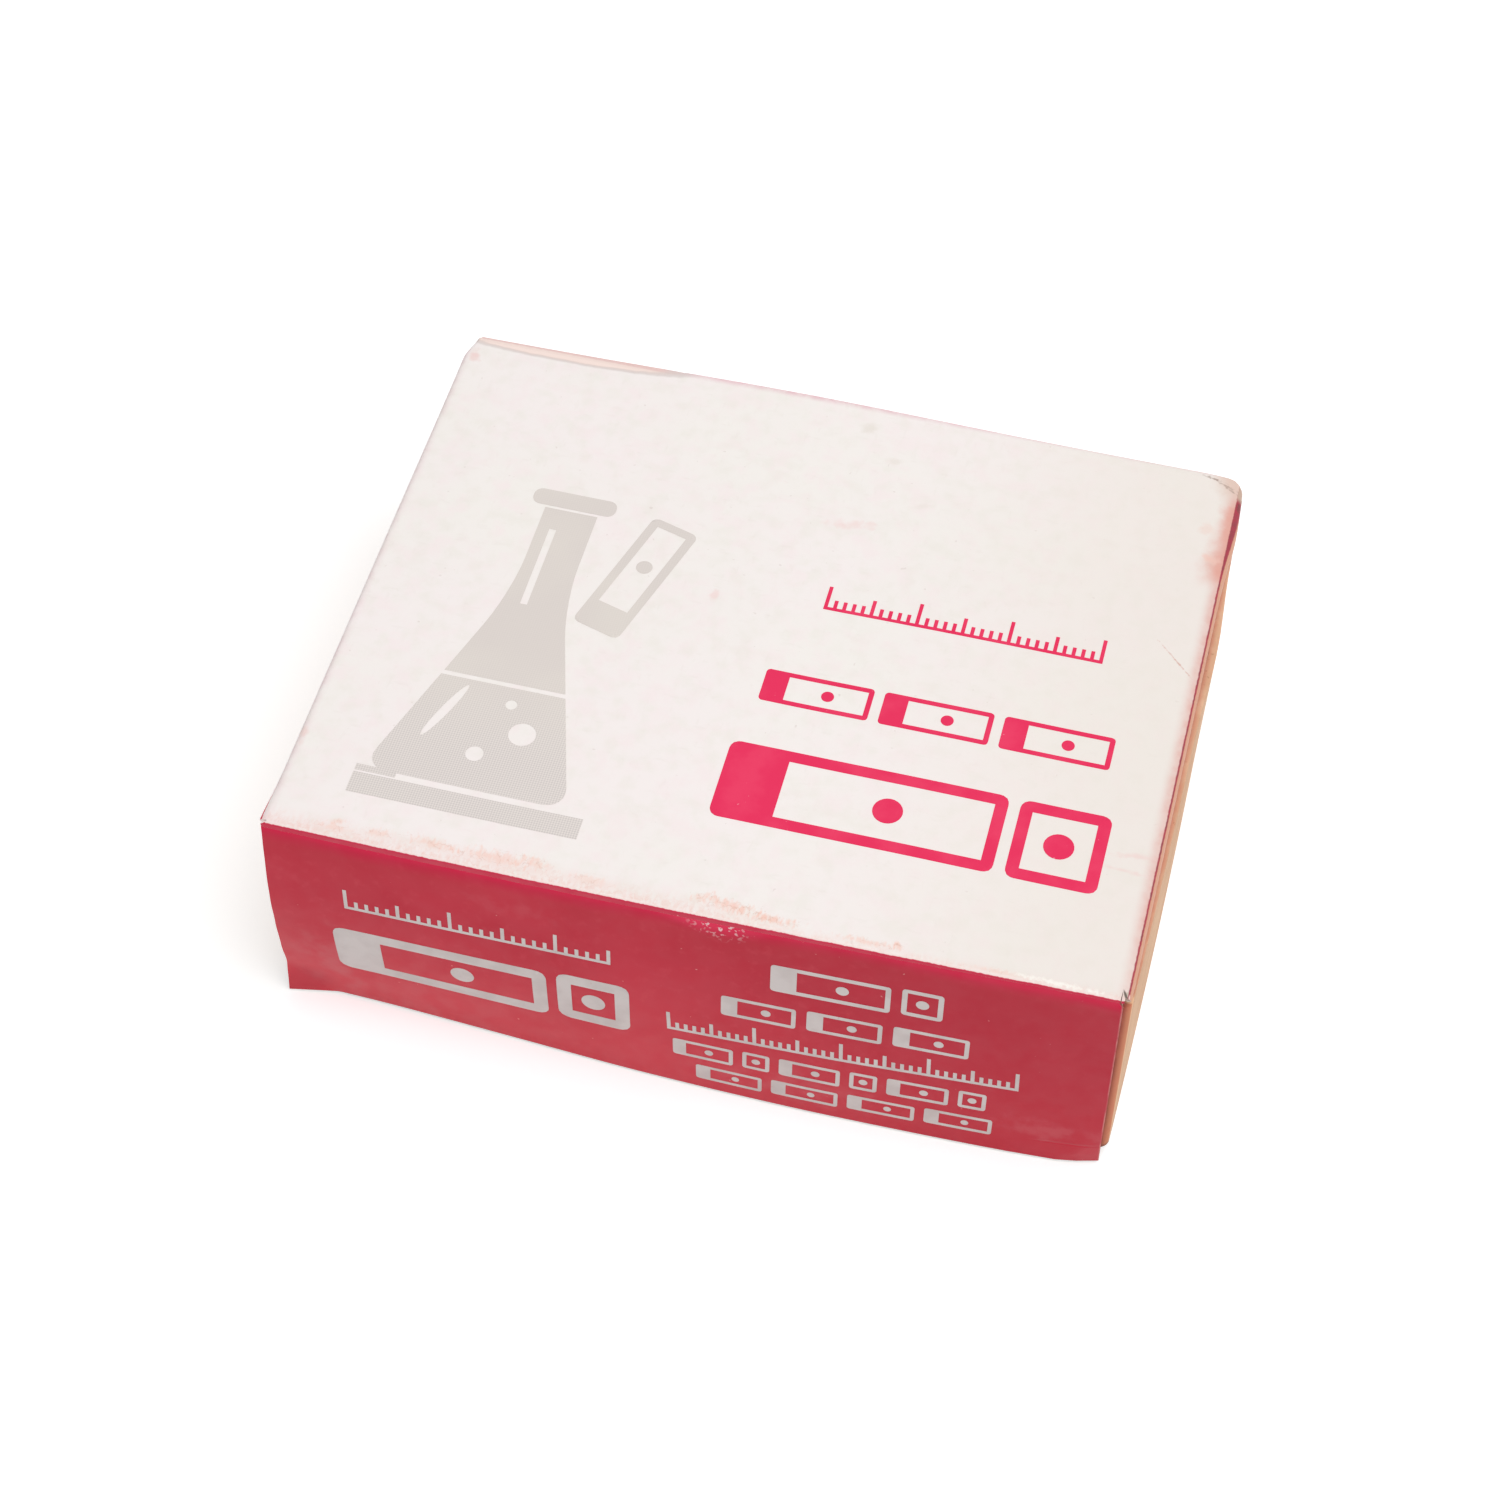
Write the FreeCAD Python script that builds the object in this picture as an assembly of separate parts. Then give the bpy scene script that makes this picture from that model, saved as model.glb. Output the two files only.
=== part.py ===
"""A hinged card box that holds fifty glass microscope slides, standing on its base.

X runs along the slides, Y from the front flap to the hinge at the back, and Z up.
All sizes are in millimetres. The shapes are built about the middle of the lid, and are then
moved together so that the origin is the middle of the footprint.
"""

import FreeCAD
import Part
import math
import os

Vector = FreeCAD.Vector

# Glass slides, standing on their long edges in one row
slide_count = 50
slide_length = 76.2
slide_width = 25.4
slide_thickness = 1.1
slide_gap = 0.08

# Tray: a strawboard strip wrapped round a floor board
tray_floor_board = 0.8
tray_wall_board = 0.8
tray_corner_radius = 0.8
tray_foot_radius = 0.7
row_clearance = 0.75
rim_below_slides = 1.1
end_wall_bulge = 0.38

# Case: one printed card, folded into base sheet, back wall, lid, end flaps and front flap
case_board = 0.4
head_clearance = 0.1
slide_end_clearance = 0.5
end_flap_clearance = 0.25
front_flap_clearance = 0.15
fold_clearance = 0.02
fold_rounding = 0.3
base_bend_radius = 0.5
base_sheet_setback = 1.0
back_wall_inset = 1.2

# End flaps: they leave the lid in a crushed bead, and stand inside the tray's end walls
bead_radius = 0.4
bead_return_radius = 1.0
bead_overhang = 0.9
end_flap_length = 18.0
end_flap_corner_radius = 3.0
end_flap_back_gap = 2.4
end_flap_front_gap = 1.2
end_flap_swing_clearance = 0.35

# Front flap: it hangs free in front of the tray, and is warped by handling
front_flap_floor_gap = 0.3
front_flap_left_inset = 0.2
front_flap_top_inset = 0.65
front_flap_foot_inset = 0.4
foot_bow = 1.6
foot_bow_centre = 6.0
foot_bow_left_span = 46.0
foot_bow_right_span = 58.0
side_belly = 1.25
corner_curl = 1.1
corner_curl_size = 4.4
corner_tuck = 0.5
corner_tuck_size = 4.0

# Worn corners of the lid
back_left_cut_length = 3.6
back_left_cut_width = 0.8
back_right_round = 1.6
front_corner_round = 0.4

# Stations of the warped sheet's surface across the flap and down it
warp_columns = 19
warp_rows = 9


# Sizes that follow from the ones above
slide_pitch = slide_thickness + slide_gap
row_length = slide_count * slide_pitch - slide_gap

floor_top = case_board + tray_floor_board
hinge_height = floor_top + slide_width + head_clearance
box_height = hinge_height + case_board
rim_height = floor_top + slide_width - rim_below_slides

row_half = row_length / 2
tray_inner_half = row_half + row_clearance
tray_outer_half = tray_inner_half + tray_wall_board
back_face = tray_outer_half + case_board
front_face = -(tray_outer_half + front_flap_clearance + case_board)

end_flap_inner = slide_length / 2 + slide_end_clearance
end_flap_outer = end_flap_inner + case_board
lid_half_length = end_flap_outer + bead_overhang
flap_left = -lid_half_length + front_flap_left_inset
tray_end_inner = end_flap_outer + end_flap_clearance

overshoot = 1.0


def box_between(low, high):
    """A block given by its lowest and highest corners."""
    size = high - low
    return Part.makeBox(size.x, size.y, size.z, low)


def on_circle(centre, radius, degrees):
    """A point of a circle that lies in a plane of constant Y."""
    angle = math.radians(degrees)
    return centre + Vector(radius * math.cos(angle), 0, radius * math.sin(angle))


def arc_edge(centre, radius, start, end):
    """An arc in a plane of constant Y, from one angle to another."""
    middle = on_circle(centre, radius, (start + end) / 2)
    return Part.Arc(on_circle(centre, radius, start), middle, on_circle(centre, radius, end)).toShape()


def chain(points):
    """Straight edges through points that lie apart."""
    return [Part.LineSegment(a, b).toShape() for a, b in zip(points, points[1:])]


def prism(edges, direction):
    """A solid swept straight from the face inside a closed chain of edges."""
    ordered = Part.__sortEdges__(edges)
    return Part.Face(Part.Wire(ordered)).extrude(direction)


def vertical_edges(shape, height):
    """The straight upright edges that run the full height of a prism."""
    return [e for e in shape.Edges if abs(e.BoundBox.ZLength - height) < 1e-6
            and e.BoundBox.XLength + e.BoundBox.YLength < 1e-3]


def end_bulged_block(half_length, half_depth, low, high, radius):
    """An upright block with rounded corners, whose right end bulges in a shallow arc in plan."""
    back_left = Vector(-half_length, half_depth, low)
    back_right = Vector(half_length, half_depth, low)
    front_right = Vector(half_length, -half_depth, low)
    front_left = Vector(-half_length, -half_depth, low)
    end_arc = Part.Arc(back_right, Vector(half_length + end_wall_bulge, 0, low), front_right).toShape()
    edges = chain([front_right, front_left, back_left, back_right]) + [end_arc]
    block = prism(edges, Vector(0, 0, high - low))
    return block.makeFillet(radius, vertical_edges(block, high - low))


def make_tray():
    """The open strawboard tray: floor, four walls and rounded upright corners."""
    outer = end_bulged_block(
        tray_end_inner + tray_wall_board, tray_outer_half, case_board, rim_height, tray_corner_radius)
    foot = [e for e in outer.Edges if e.BoundBox.ZMax < case_board + 1e-6]
    outer = outer.makeFillet(tray_foot_radius, foot)
    inner_radius = max(tray_corner_radius - tray_wall_board, 0.1)
    hollow = end_bulged_block(
        tray_end_inner, tray_inner_half, floor_top, rim_height + overshoot, inner_radius)
    return outer.cut(hollow)


def make_base_and_back():
    """The glued part of the case: base sheet and back wall, folded from one card."""
    half = lid_half_length - back_wall_inset
    front = -tray_outer_half + base_sheet_setback
    top = hinge_height - fold_clearance
    inner_radius = base_bend_radius
    outer_radius = base_bend_radius + case_board
    bend = Vector(-half, back_face - outer_radius, outer_radius)
    out = math.sqrt(0.5)
    outer_arc = Part.Arc(
        Vector(-half, back_face, outer_radius),
        bend + Vector(0, outer_radius * out, -outer_radius * out),
        Vector(-half, back_face - outer_radius, 0)).toShape()
    inner_arc = Part.Arc(
        Vector(-half, back_face - outer_radius, case_board),
        bend + Vector(0, inner_radius * out, -inner_radius * out),
        Vector(-half, back_face - case_board, outer_radius)).toShape()
    base = chain([Vector(-half, back_face - outer_radius, 0), Vector(-half, front, 0),
                  Vector(-half, front, case_board), Vector(-half, back_face - outer_radius, case_board)])
    wall = chain([Vector(-half, back_face - case_board, outer_radius), Vector(-half, back_face - case_board, top),
                  Vector(-half, back_face, top), Vector(-half, back_face, outer_radius)])
    return prism(base + wall + [outer_arc, inner_arc], Vector(2 * half, 0, 0))


def folded_end():
    """Edges of the lid's right end in section: panel, crushed bead and end flap, as two skins."""
    half_board = case_board / 2
    centre = Vector(lid_half_length - bead_radius - half_board, 0, box_height - bead_radius - half_board)
    reach = bead_radius + bead_return_radius
    lean = math.degrees(math.acos(1 - bead_overhang / reach))
    back_centre = on_circle(centre, reach, -lean)
    foot = box_height - end_flap_length
    outer = [arc_edge(centre, bead_radius + half_board, 90, -lean),
             arc_edge(back_centre, bead_return_radius - half_board, 180 - lean, 180)]
    inner = [arc_edge(back_centre, bead_return_radius + half_board, 180, 180 - lean),
             arc_edge(centre, bead_radius - half_board, -lean, 90)]
    flap = chain([on_circle(back_centre, bead_return_radius - half_board, 180),
                  Vector(end_flap_outer, 0, foot), Vector(end_flap_inner, 0, foot),
                  on_circle(back_centre, bead_return_radius + half_board, 180)])
    return outer + flap + inner, centre.x


def end_flap_field():
    """A block across the box that holds both end flaps: it gives them their outline from the side.

    The front edge is an arc about the hinge, so that a flap clears the tray's front as it swings.
    """
    back = back_face - end_flap_back_gap
    low = box_height - end_flap_length
    high = box_height - case_board
    swing = back_face + tray_inner_half - end_flap_swing_clearance
    reach_low = math.sqrt(swing ** 2 - (hinge_height - low) ** 2)
    reach_high = min(swing, back_face - front_face - end_flap_front_gap)
    middle_height = (low + high) / 2
    reach_middle = math.sqrt(swing ** 2 - (hinge_height - middle_height) ** 2)
    left = -lid_half_length - overshoot
    corners = [Vector(left, back_face - reach_high, high), Vector(left, back, high),
               Vector(left, back, low), Vector(left, back_face - reach_low, low)]
    front_arc = Part.Arc(
        corners[3], Vector(left, back_face - reach_middle, middle_height), corners[0]).toShape()
    field = prism(chain(corners) + [front_arc], Vector(-2 * left, 0, 0))
    low_edges = [e for e in field.Edges if e.BoundBox.ZMax < low + 1e-6 and e.BoundBox.XLength > 1]
    return field.makeFillet(end_flap_corner_radius, low_edges)


def upright_corner_cutter(corner, radius, inward_x, inward_y):
    """What is taken off an upright corner to round it."""
    size = radius + overshoot
    start = Vector(corner.x - overshoot, corner.y - overshoot, 0)
    if inward_x < 0:
        start.x = corner.x - radius
    if inward_y < 0:
        start.y = corner.y - radius
    block = Part.makeBox(size, size, box_height + overshoot, start)
    centre = corner + Vector(inward_x * radius, inward_y * radius, -overshoot)
    return block.cut(Part.makeCylinder(radius, box_height + 3 * overshoot, centre))


def fold_cutter(face_y, inward):
    """What is taken off the lid's top along a fold to round it."""
    reach = lid_half_length + overshoot
    axis_y = face_y + inward * fold_rounding
    low = Vector(-reach, min(axis_y, face_y - inward * overshoot), box_height - fold_rounding)
    high = Vector(reach, max(axis_y, face_y - inward * overshoot), box_height + overshoot)
    start = Vector(-reach - overshoot, axis_y, box_height - fold_rounding)
    rod = Part.makeCylinder(fold_rounding, 2 * (reach + overshoot), start, Vector(1, 0, 0))
    return box_between(low, high).cut(rod)


def make_lid():
    """The lid with its two end flaps, folded from one card, with worn corners."""
    right, straight_to = folded_end()
    mirror = Vector(1, 0, 0)
    left = [e.mirror(Vector(0, 0, 0), mirror) for e in right]
    top = chain([Vector(-straight_to, 0, box_height), Vector(straight_to, 0, box_height)])
    under = chain([Vector(-straight_to, 0, hinge_height), Vector(straight_to, 0, hinge_height)])
    sheet = prism(right + left + top + under, Vector(0, back_face - front_face, 0))
    sheet.translate(Vector(0, front_face, 0))

    reach = lid_half_length + overshoot
    panel_field = box_between(Vector(-reach, front_face, hinge_height), Vector(reach, back_face, box_height))
    lid = sheet.common(panel_field.fuse(end_flap_field()))

    back_left = [Vector(-lid_half_length - overshoot, back_face + overshoot, 0),
                 Vector(-lid_half_length - overshoot, back_face - back_left_cut_length, 0),
                 Vector(-lid_half_length, back_face - back_left_cut_length, 0),
                 Vector(-lid_half_length + back_left_cut_width, back_face, 0),
                 Vector(-lid_half_length + back_left_cut_width, back_face + overshoot, 0)]
    cutters = [prism(chain(back_left + back_left[:1]), Vector(0, 0, box_height + overshoot)),
               upright_corner_cutter(Vector(lid_half_length, back_face, 0), back_right_round, -1, -1),
               upright_corner_cutter(Vector(lid_half_length, front_face, 0), front_corner_round, -1, 1),
               upright_corner_cutter(Vector(-lid_half_length, front_face, 0), front_corner_round, 1, 1),
               fold_cutter(front_face, 1), fold_cutter(back_face, -1)]
    return lid.cut(cutters)


def foot_offset(x):
    """How far the front flap's foot stands out from the fold's plane."""
    away = x - foot_bow_centre
    span = foot_bow_left_span if away < 0 else foot_bow_right_span
    return foot_bow * math.cos(math.pi / 2 * min(abs(away) / span, 1)) ** 2


def flap_offset(x, across, down):
    """The warp of the front flap: a bowed foot, a belly at the left side, and corners that curl.

    The lower left corner curls out, and the lower right one is tucked in towards the tray.

    across runs from 0 at the left side to 1 at the right, and down from 0 at the fold to 1 at the foot.
    """
    bow = foot_offset(x) * down ** 1.5
    belly = side_belly * (1 - across) * math.sin(math.pi * down)
    from_corner = (x - flap_left) / corner_curl_size
    from_foot = (1 - down) * hinge_height / corner_curl_size
    curl = corner_curl * max(1 - from_corner - from_foot, 0)
    from_right = (lid_half_length - front_flap_foot_inset - x) / corner_tuck_size
    from_low_edge = (1 - down) * hinge_height / corner_tuck_size
    tuck = corner_tuck * max(1 - from_right - from_low_edge, 0)
    return bow + belly + curl - tuck


def make_front_flap():
    """The free front flap: one warped sheet from the fold down to just above the floor."""
    top = hinge_height - fold_clearance
    grid = []
    for column in range(warp_columns):
        across = column / (warp_columns - 1)
        line = []
        for row in range(warp_rows):
            down = row / (warp_rows - 1)
            right_inset = front_flap_top_inset + (front_flap_foot_inset - front_flap_top_inset) * down
            x = flap_left + across * (lid_half_length - right_inset - flap_left)
            z = top + (front_flap_floor_gap - top) * down
            line.append(Vector(x, front_face - flap_offset(x, across, down), z))
        grid.append(line)
    surface = Part.BSplineSurface()
    surface.interpolate(grid)
    return surface.toShape().extrude(Vector(0, case_board, 0))


def make_slides():
    """The glass slides, each on its long edge, from the front of the row to the back."""
    slides = {}
    for number in range(slide_count):
        start = Vector(-slide_length / 2, -row_half + number * slide_pitch, floor_top)
        slides[f"slide_{number + 1:02d}"] = Part.makeBox(slide_length, slide_thickness, slide_width, start)
    return slides


def main():
    parts = {
        "tray": make_tray(),
        "base_and_back": make_base_and_back(),
        "lid": make_lid(),
        "front_flap": make_front_flap(),
    }
    parts.update(make_slides())

    bounds = Part.makeCompound(list(parts.values())).optimalBoundingBox()
    to_footprint = Vector(-bounds.Center.x, -bounds.Center.y, -bounds.ZMin)
    print("moved by", to_footprint)
    print("hinge line y", back_face + to_footprint.y, "z", hinge_height)
    print("front fold y", front_face + to_footprint.y, "z", hinge_height)
    os.makedirs("parts", exist_ok=True)
    for name, shape in parts.items():
        shape.translate(to_footprint)
        shape.exportStep(f"parts/{name}.step")
        if not name.startswith("slide_"):
            print(name, shape.ShapeType, shape.isValid(), len(shape.Solids), round(shape.Volume, 2))


main()
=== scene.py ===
"""Looks of a hinged card box of microscope slides, in the order in which the box is put together."""

import math

import bpy
from mathutils import Euler, Matrix, Vector, noise


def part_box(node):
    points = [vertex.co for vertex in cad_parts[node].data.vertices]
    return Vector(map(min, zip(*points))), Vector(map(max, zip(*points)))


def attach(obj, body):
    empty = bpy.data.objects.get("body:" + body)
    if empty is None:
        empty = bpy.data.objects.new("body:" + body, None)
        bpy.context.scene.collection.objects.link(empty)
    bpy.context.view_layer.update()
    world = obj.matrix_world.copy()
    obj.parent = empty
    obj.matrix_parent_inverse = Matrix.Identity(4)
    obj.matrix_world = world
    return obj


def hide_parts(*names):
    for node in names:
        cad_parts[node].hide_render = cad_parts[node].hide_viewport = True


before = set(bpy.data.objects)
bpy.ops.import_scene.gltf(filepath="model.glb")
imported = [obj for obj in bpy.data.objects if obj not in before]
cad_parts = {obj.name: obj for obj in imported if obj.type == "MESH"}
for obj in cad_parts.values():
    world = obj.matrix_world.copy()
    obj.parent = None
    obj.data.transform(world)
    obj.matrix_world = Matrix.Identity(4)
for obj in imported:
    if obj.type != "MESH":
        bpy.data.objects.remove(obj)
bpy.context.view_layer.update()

# Tray: a strip of tan strawboard wrapped round a floor of the same board, and glued. It is bare:
# no paper covers it, so the straw shows on its walls and its rim. Its right end has bowed outwards.

tray_low, tray_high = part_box("tray")
tray_board = 0.0008
tray_corner_radius = 0.0008
tray_foot_radius = 0.0007
tray_rim_wear = 0.00012
end_wall_bow = 0.00038
wall_strips = 24
wall_courses = 10
bulge_place = 0.0118
bulge_size = 0.0068
bulge_depth = 0.00042
bow_ease = 0.0001
crushed_foot_lift = 0.0011
crushed_foot_reach = 0.0032
seat_gap = 0.00001
near = 0.00001


def start_piece(add, name, extent, **settings):
    """A primitive stretched to an extent, as the start of a piece."""
    bpy.ops.object.select_all(action="DESELECT")
    add(**settings)
    piece = bpy.context.active_object
    piece.name = name
    piece.scale = extent
    bpy.ops.object.transform_apply(location=True, rotation=True, scale=True)
    return piece


def block(name, low, high):
    """A plain block between two corners."""
    return start_piece(bpy.ops.mesh.primitive_cube_add, name, high - low, size=1, location=(low + high) / 2)


def pick(piece, kind, test):
    """Selects, in edit mode, the vertices, edges or faces that pass a test of their place and direction."""
    bpy.ops.object.mode_set(mode="EDIT")
    bpy.ops.mesh.select_mode(type=kind)
    bpy.ops.mesh.select_all(action="DESELECT")
    bpy.ops.object.mode_set(mode="OBJECT")
    mesh = piece.data
    if kind == "VERT":
        for vertex in mesh.vertices:
            vertex.select = test(vertex.co)
    if kind == "EDGE":
        for edge in mesh.edges:
            start, end = (mesh.vertices[i].co for i in edge.vertices)
            edge.select = test((start + end) / 2, end - start)
    if kind == "FACE":
        for face in mesh.polygons:
            face.select = test(face.center, face.normal)
    bpy.ops.object.mode_set(mode="EDIT")


def work_all(operation, **settings):
    """Does one edit-mode operation on the whole of the piece in hand."""
    bpy.ops.object.mode_set(mode="EDIT")
    bpy.ops.mesh.select_all(action="SELECT")
    operation(**settings)
    bpy.ops.object.mode_set(mode="OBJECT")


def slice_piece(places, direction):
    """Cuts new edge lines right round the piece in hand, at places along a direction."""
    for place in places:
        work_all(bpy.ops.mesh.bisect, plane_co=Vector(direction) * place, plane_no=direction)


def even_steps(start, end, count):
    """Places inside a length, at even steps."""
    return [start + (end - start) * step / count for step in range(1, count)]


def press(piece, place):
    """Moves each vertex of a piece to where a formula puts it."""
    bpy.ops.object.mode_set(mode="OBJECT")
    for vertex in piece.data.vertices:
        vertex.co = place(vertex.co.copy())
    piece.data.update()


def smooth(piece, angle):
    """Shades a piece smooth, but for edges sharper than an angle."""
    bpy.ops.object.select_all(action="DESELECT")
    piece.select_set(True)
    bpy.context.view_layer.objects.active = piece
    bpy.ops.object.shade_smooth_by_angle(angle=math.radians(angle))


def fit_modifier(piece, kind, **settings):
    """Adds a modifier, sets it and applies it."""
    bpy.ops.object.mode_set(mode="OBJECT")
    modifier = piece.modifiers.new(kind.title(), kind)
    for name, value in settings.items():
        setattr(modifier, name, value)
    bpy.context.view_layer.objects.active = piece
    bpy.ops.object.modifier_apply(modifier=modifier.name)


tray = block("strawboard_tray", tray_low, Vector((tray_high.x - end_wall_bow, tray_high.y, tray_high.z)))
tray_end = max(vertex.co.x for vertex in tray.data.vertices)
slice_piece(even_steps(tray_low.y, tray_high.y, wall_strips), (0, 1, 0))
slice_piece(even_steps(tray_low.x, tray_end, wall_strips), (1, 0, 0))
pick(tray, "FACE", lambda middle, normal: normal.z > 0.9)
bpy.ops.mesh.delete(type="FACE")


def off_ends(middle):
    """How far a place is from the tray's ends, and from its front and back."""
    return min(middle.x - tray_low.x, tray_end - middle.x), min(middle.y - tray_low.y, tray_high.y - middle.y)


pick(tray, "EDGE", lambda middle, along: abs(along.z) > 0.01 and max(off_ends(middle)) < near)
bpy.ops.mesh.bevel(offset=tray_corner_radius, segments=8, affect="EDGES")
pick(tray, "EDGE", lambda middle, along: middle.z < tray_low.z + near / 10 and (
     min(off_ends(middle)) < near or (abs(along.x) > near / 10 and abs(along.y) > near / 10)))
bpy.ops.mesh.bevel(offset=tray_foot_radius, segments=4, affect="EDGES")
slice_piece(even_steps(tray_low.z, tray_high.z, wall_courses), (0, 0, 1))


def within(value):
    """A share kept from 0 to 1."""
    return min(max(value, 0), 1)


def bow_right_end(co):
    """The right end wall is a shallow arc in plan, with a bulge near the back and one crushed foot."""
    across = (co.y - (tray_low.y + tray_high.y) / 2) / ((tray_high.y - tray_low.y) / 2)
    share = within((co.x - tray_end + 2 * tray_corner_radius) / (2 * tray_corner_radius))
    rise = max((co.z - tray_low.z) / (tray_high.z - tray_low.z), 0)
    bulge = (bulge_depth * math.exp(-((co.y - bulge_place) / bulge_size) ** 2) - bow_ease) * rise ** 1.5
    from_foot = max(1 - (co.z - tray_low.z) / crushed_foot_reach, 0)
    from_corner = Vector((co.x - tray_end, co.y - tray_low.y)).length / crushed_foot_reach
    co.x += share * (end_wall_bow * (1 - across ** 2) + bulge)
    co.z += crushed_foot_lift * from_foot * max(1 - from_corner, 0)
    return co


def level_floor(co):
    """Inside, the floor stays level over the crushed foot, so that the slides stand on it."""
    inner_wall = 0.9 * tray_board
    inside = co.y > tray_low.y + inner_wall and co.x < tray_end - inner_wall
    if inside and tray_low.z + inner_wall < co.z < tray_low.z + tray_board + crushed_foot_lift:
        co.z = tray_low.z + tray_board - seat_gap
    return co


press(tray, bow_right_end)
fit_modifier(tray, "SOLIDIFY", thickness=tray_board, offset=-1, use_even_offset=True)
press(tray, level_floor)
fit_modifier(tray, "BEVEL", width=tray_rim_wear, segments=2, limit_method="ANGLE", angle_limit=math.radians(50))
smooth(tray, 40)


def paint(red, green, blue):
    """A colour as the shader takes it, from the values 0 to 255 that a printer gives."""
    values = [value / 255 for value in (red, green, blue)]
    return [v / 12.92 if v <= 0.04045 else ((v + 0.055) / 1.055) ** 2.4 for v in values] + [1]


def start_finish(name, colour, roughness):
    """A material, and its one plain surface."""
    finish = bpy.data.materials.new(name)
    finish.use_nodes = True
    surface = finish.node_tree.nodes["Principled BSDF"]
    surface.inputs["Base Color"].default_value = paint(*colour)
    surface.inputs["Roughness"].default_value = roughness
    return finish, surface


def feed(node, name, value):
    """Gives an input of a node its value: a number, a row of numbers or another node's socket."""
    if hasattr(value, "links"):
        node.id_data.links.new(value, node.inputs[name])
    else:
        node.inputs[name].default_value = value


def add_node(beside, kind, **inputs):
    """A new node in the tree of a node or socket, with its inputs fed."""
    node = beside.id_data.nodes.new("ShaderNode" + kind)
    for name, value in inputs.items():
        feed(node, name.replace("_", " "), value)
    return node


def work_out(operation, *values):
    """One step of arithmetic on numbers and sockets, of which one at least is a socket."""
    node = add_node([value for value in values if hasattr(value, "links")][0], "Math")
    node.operation = operation
    for place, value in enumerate(values):
        feed(node, place, value)
    return node.outputs[0]


def times(first, *others):
    """The product of several values."""
    for other in others:
        first = work_out("MULTIPLY", first, other)
    return first


def minus(first, second):
    """What is left of one value after another is taken off."""
    return work_out("SUBTRACT", first, second)


def off_line(value, line):
    """How far a value is from a line, on either side of it."""
    return work_out("ABSOLUTE", minus(value, line))


def roughen(value, rough, depth):
    """A measure made uneven by a grain, by up to half a depth either way."""
    return work_out("MULTIPLY_ADD", rough, depth, minus(value, depth / 2))


def fade(value, start, end, low=0.0, high=1.0):
    """A value that goes smoothly from low to high while another goes from start to end."""
    node = add_node(value, "MapRange", Value=value, From_Min=start, From_Max=end, To_Min=low, To_Max=high)
    node.interpolation_type = "SMOOTHSTEP"
    return node.outputs[0]


def area(*sides):
    """Where several fades meet: their product."""
    return times(*[fade(*side) for side in sides])


def places(surface):
    """The sockets of the place on the piece, and of its X, Y and Z, in metres."""
    where = add_node(surface, "TexCoord").outputs["Object"]
    return where, *add_node(surface, "SeparateXYZ", Vector=where).outputs


def grain(where, size, detail=3.0, stretch=(1, 1, 1), shift=0.0):
    """Random grain of a size in metres, drawn out along an axis where stretch is over 1."""
    placed = add_node(where, "Mapping", Vector=where, Scale=[1 / (size * s) for s in stretch],
                      Location=(shift, shift * 0.7, shift * 0.4))
    return add_node(where, "TexNoise", Vector=placed.outputs[0], Scale=1.0, Detail=detail).outputs["Fac"]


def blend(share, base, over):
    """One colour laid over another by a share. Each is a printer's colour or a socket."""
    node = add_node(share, "Mix", Factor=share)
    node.data_type = "RGBA"
    for name, colour in (("A", base), ("B", over)):
        place = [socket.name == name and socket.type == "RGBA" for socket in node.inputs].index(True)
        feed(node, place, paint(*colour) if isinstance(colour, tuple) else colour)
    return [socket for socket in node.outputs if socket.type == "RGBA"][0]


def tint(base, *layers):
    """Lays tints over a colour. Each has a grain, where it sets in, its share and its colour."""
    for rough, start, end, share, colour in layers:
        base = blend(fade(rough, start, end, 0, share), base, colour)
    return base


def emboss(surface, height, distance, strength=1.0, below=None):
    """Turns a height from 0 to 1 into relief of a depth in metres, over relief that is there already."""
    node = add_node(surface, "Bump", Distance=distance, Strength=strength, Height=height)
    if below is not None:
        feed(node, "Normal", below)
    feed(surface, "Normal", node.outputs[0])
    return node.outputs[0]


strawboard, surface = start_finish("strawboard", (222, 182, 148), 0.85)
where, along_x, along_y, along_z = places(surface)
fibres = grain(where, 0.0009, 6, (3.2, 3.2, 0.5))
clouds = grain(where, 0.009, 3, shift=4)
flecks = grain(where, 0.00035, 2, (1.5, 1.5, 0.8), shift=9)
straw = blend(fade(clouds, 0.3, 0.7), (226, 186, 152), (214, 170, 136))
straw = tint(straw, (fibres, 0.46, 0.74, 0.55, (238, 206, 172)), (flecks, 0.66, 0.76, 0.6, (158, 112, 78)),
             (along_z, tray_low.z + 0.003, tray_low.z, 0.35, (178, 122, 100)))

# Crimson has rubbed off on the rim beside the lid's right edge, and down the front right corner. Both are
# deepened with painted shade: on the rim next to the lid's bead, and at the corner towards the front flap
lid_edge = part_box("lid")[1].x
stain_grain = grain(where, 0.0011, 5, (1, 1, 2.5), shift=14)
# painted shade: the rub is strongest right next to the lid's edge, under its bead
rubbed_rim_and_painted_shade = area((along_z, tray_high.z - 0.0009, tray_high.z - 0.0002),
                  (along_x, tray_high.x - 0.0014, tray_high.x - 0.001),
                  (along_x, lid_edge + 0.0005, lid_edge, 0.1, 0.6), (stain_grain, 0.3, 0.6, 0.55, 1))
straw = blend(rubbed_rim_and_painted_shade, straw, (212, 128, 108))
# painted shade and red light bounced from the front flap, over a crimson rub: brown-red by the flap, lighter
# towards the side wall
at_corner = area((along_y, tray_low.y + 0.0008, tray_low.y + 0.0005),
                 (along_x, tray_high.x - 0.0022, tray_high.x - 0.0014, 0, 0.92))
corner_red_and_painted_shade = blend(fade(along_x, tray_end - 0.0009, tray_end - 0.0001), (158, 58, 52), (208, 128, 92))
straw = blend(at_corner, straw, tint(corner_red_and_painted_shade, (stain_grain, 0.4, 0.62, 0.4, (206, 112, 88))))
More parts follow.
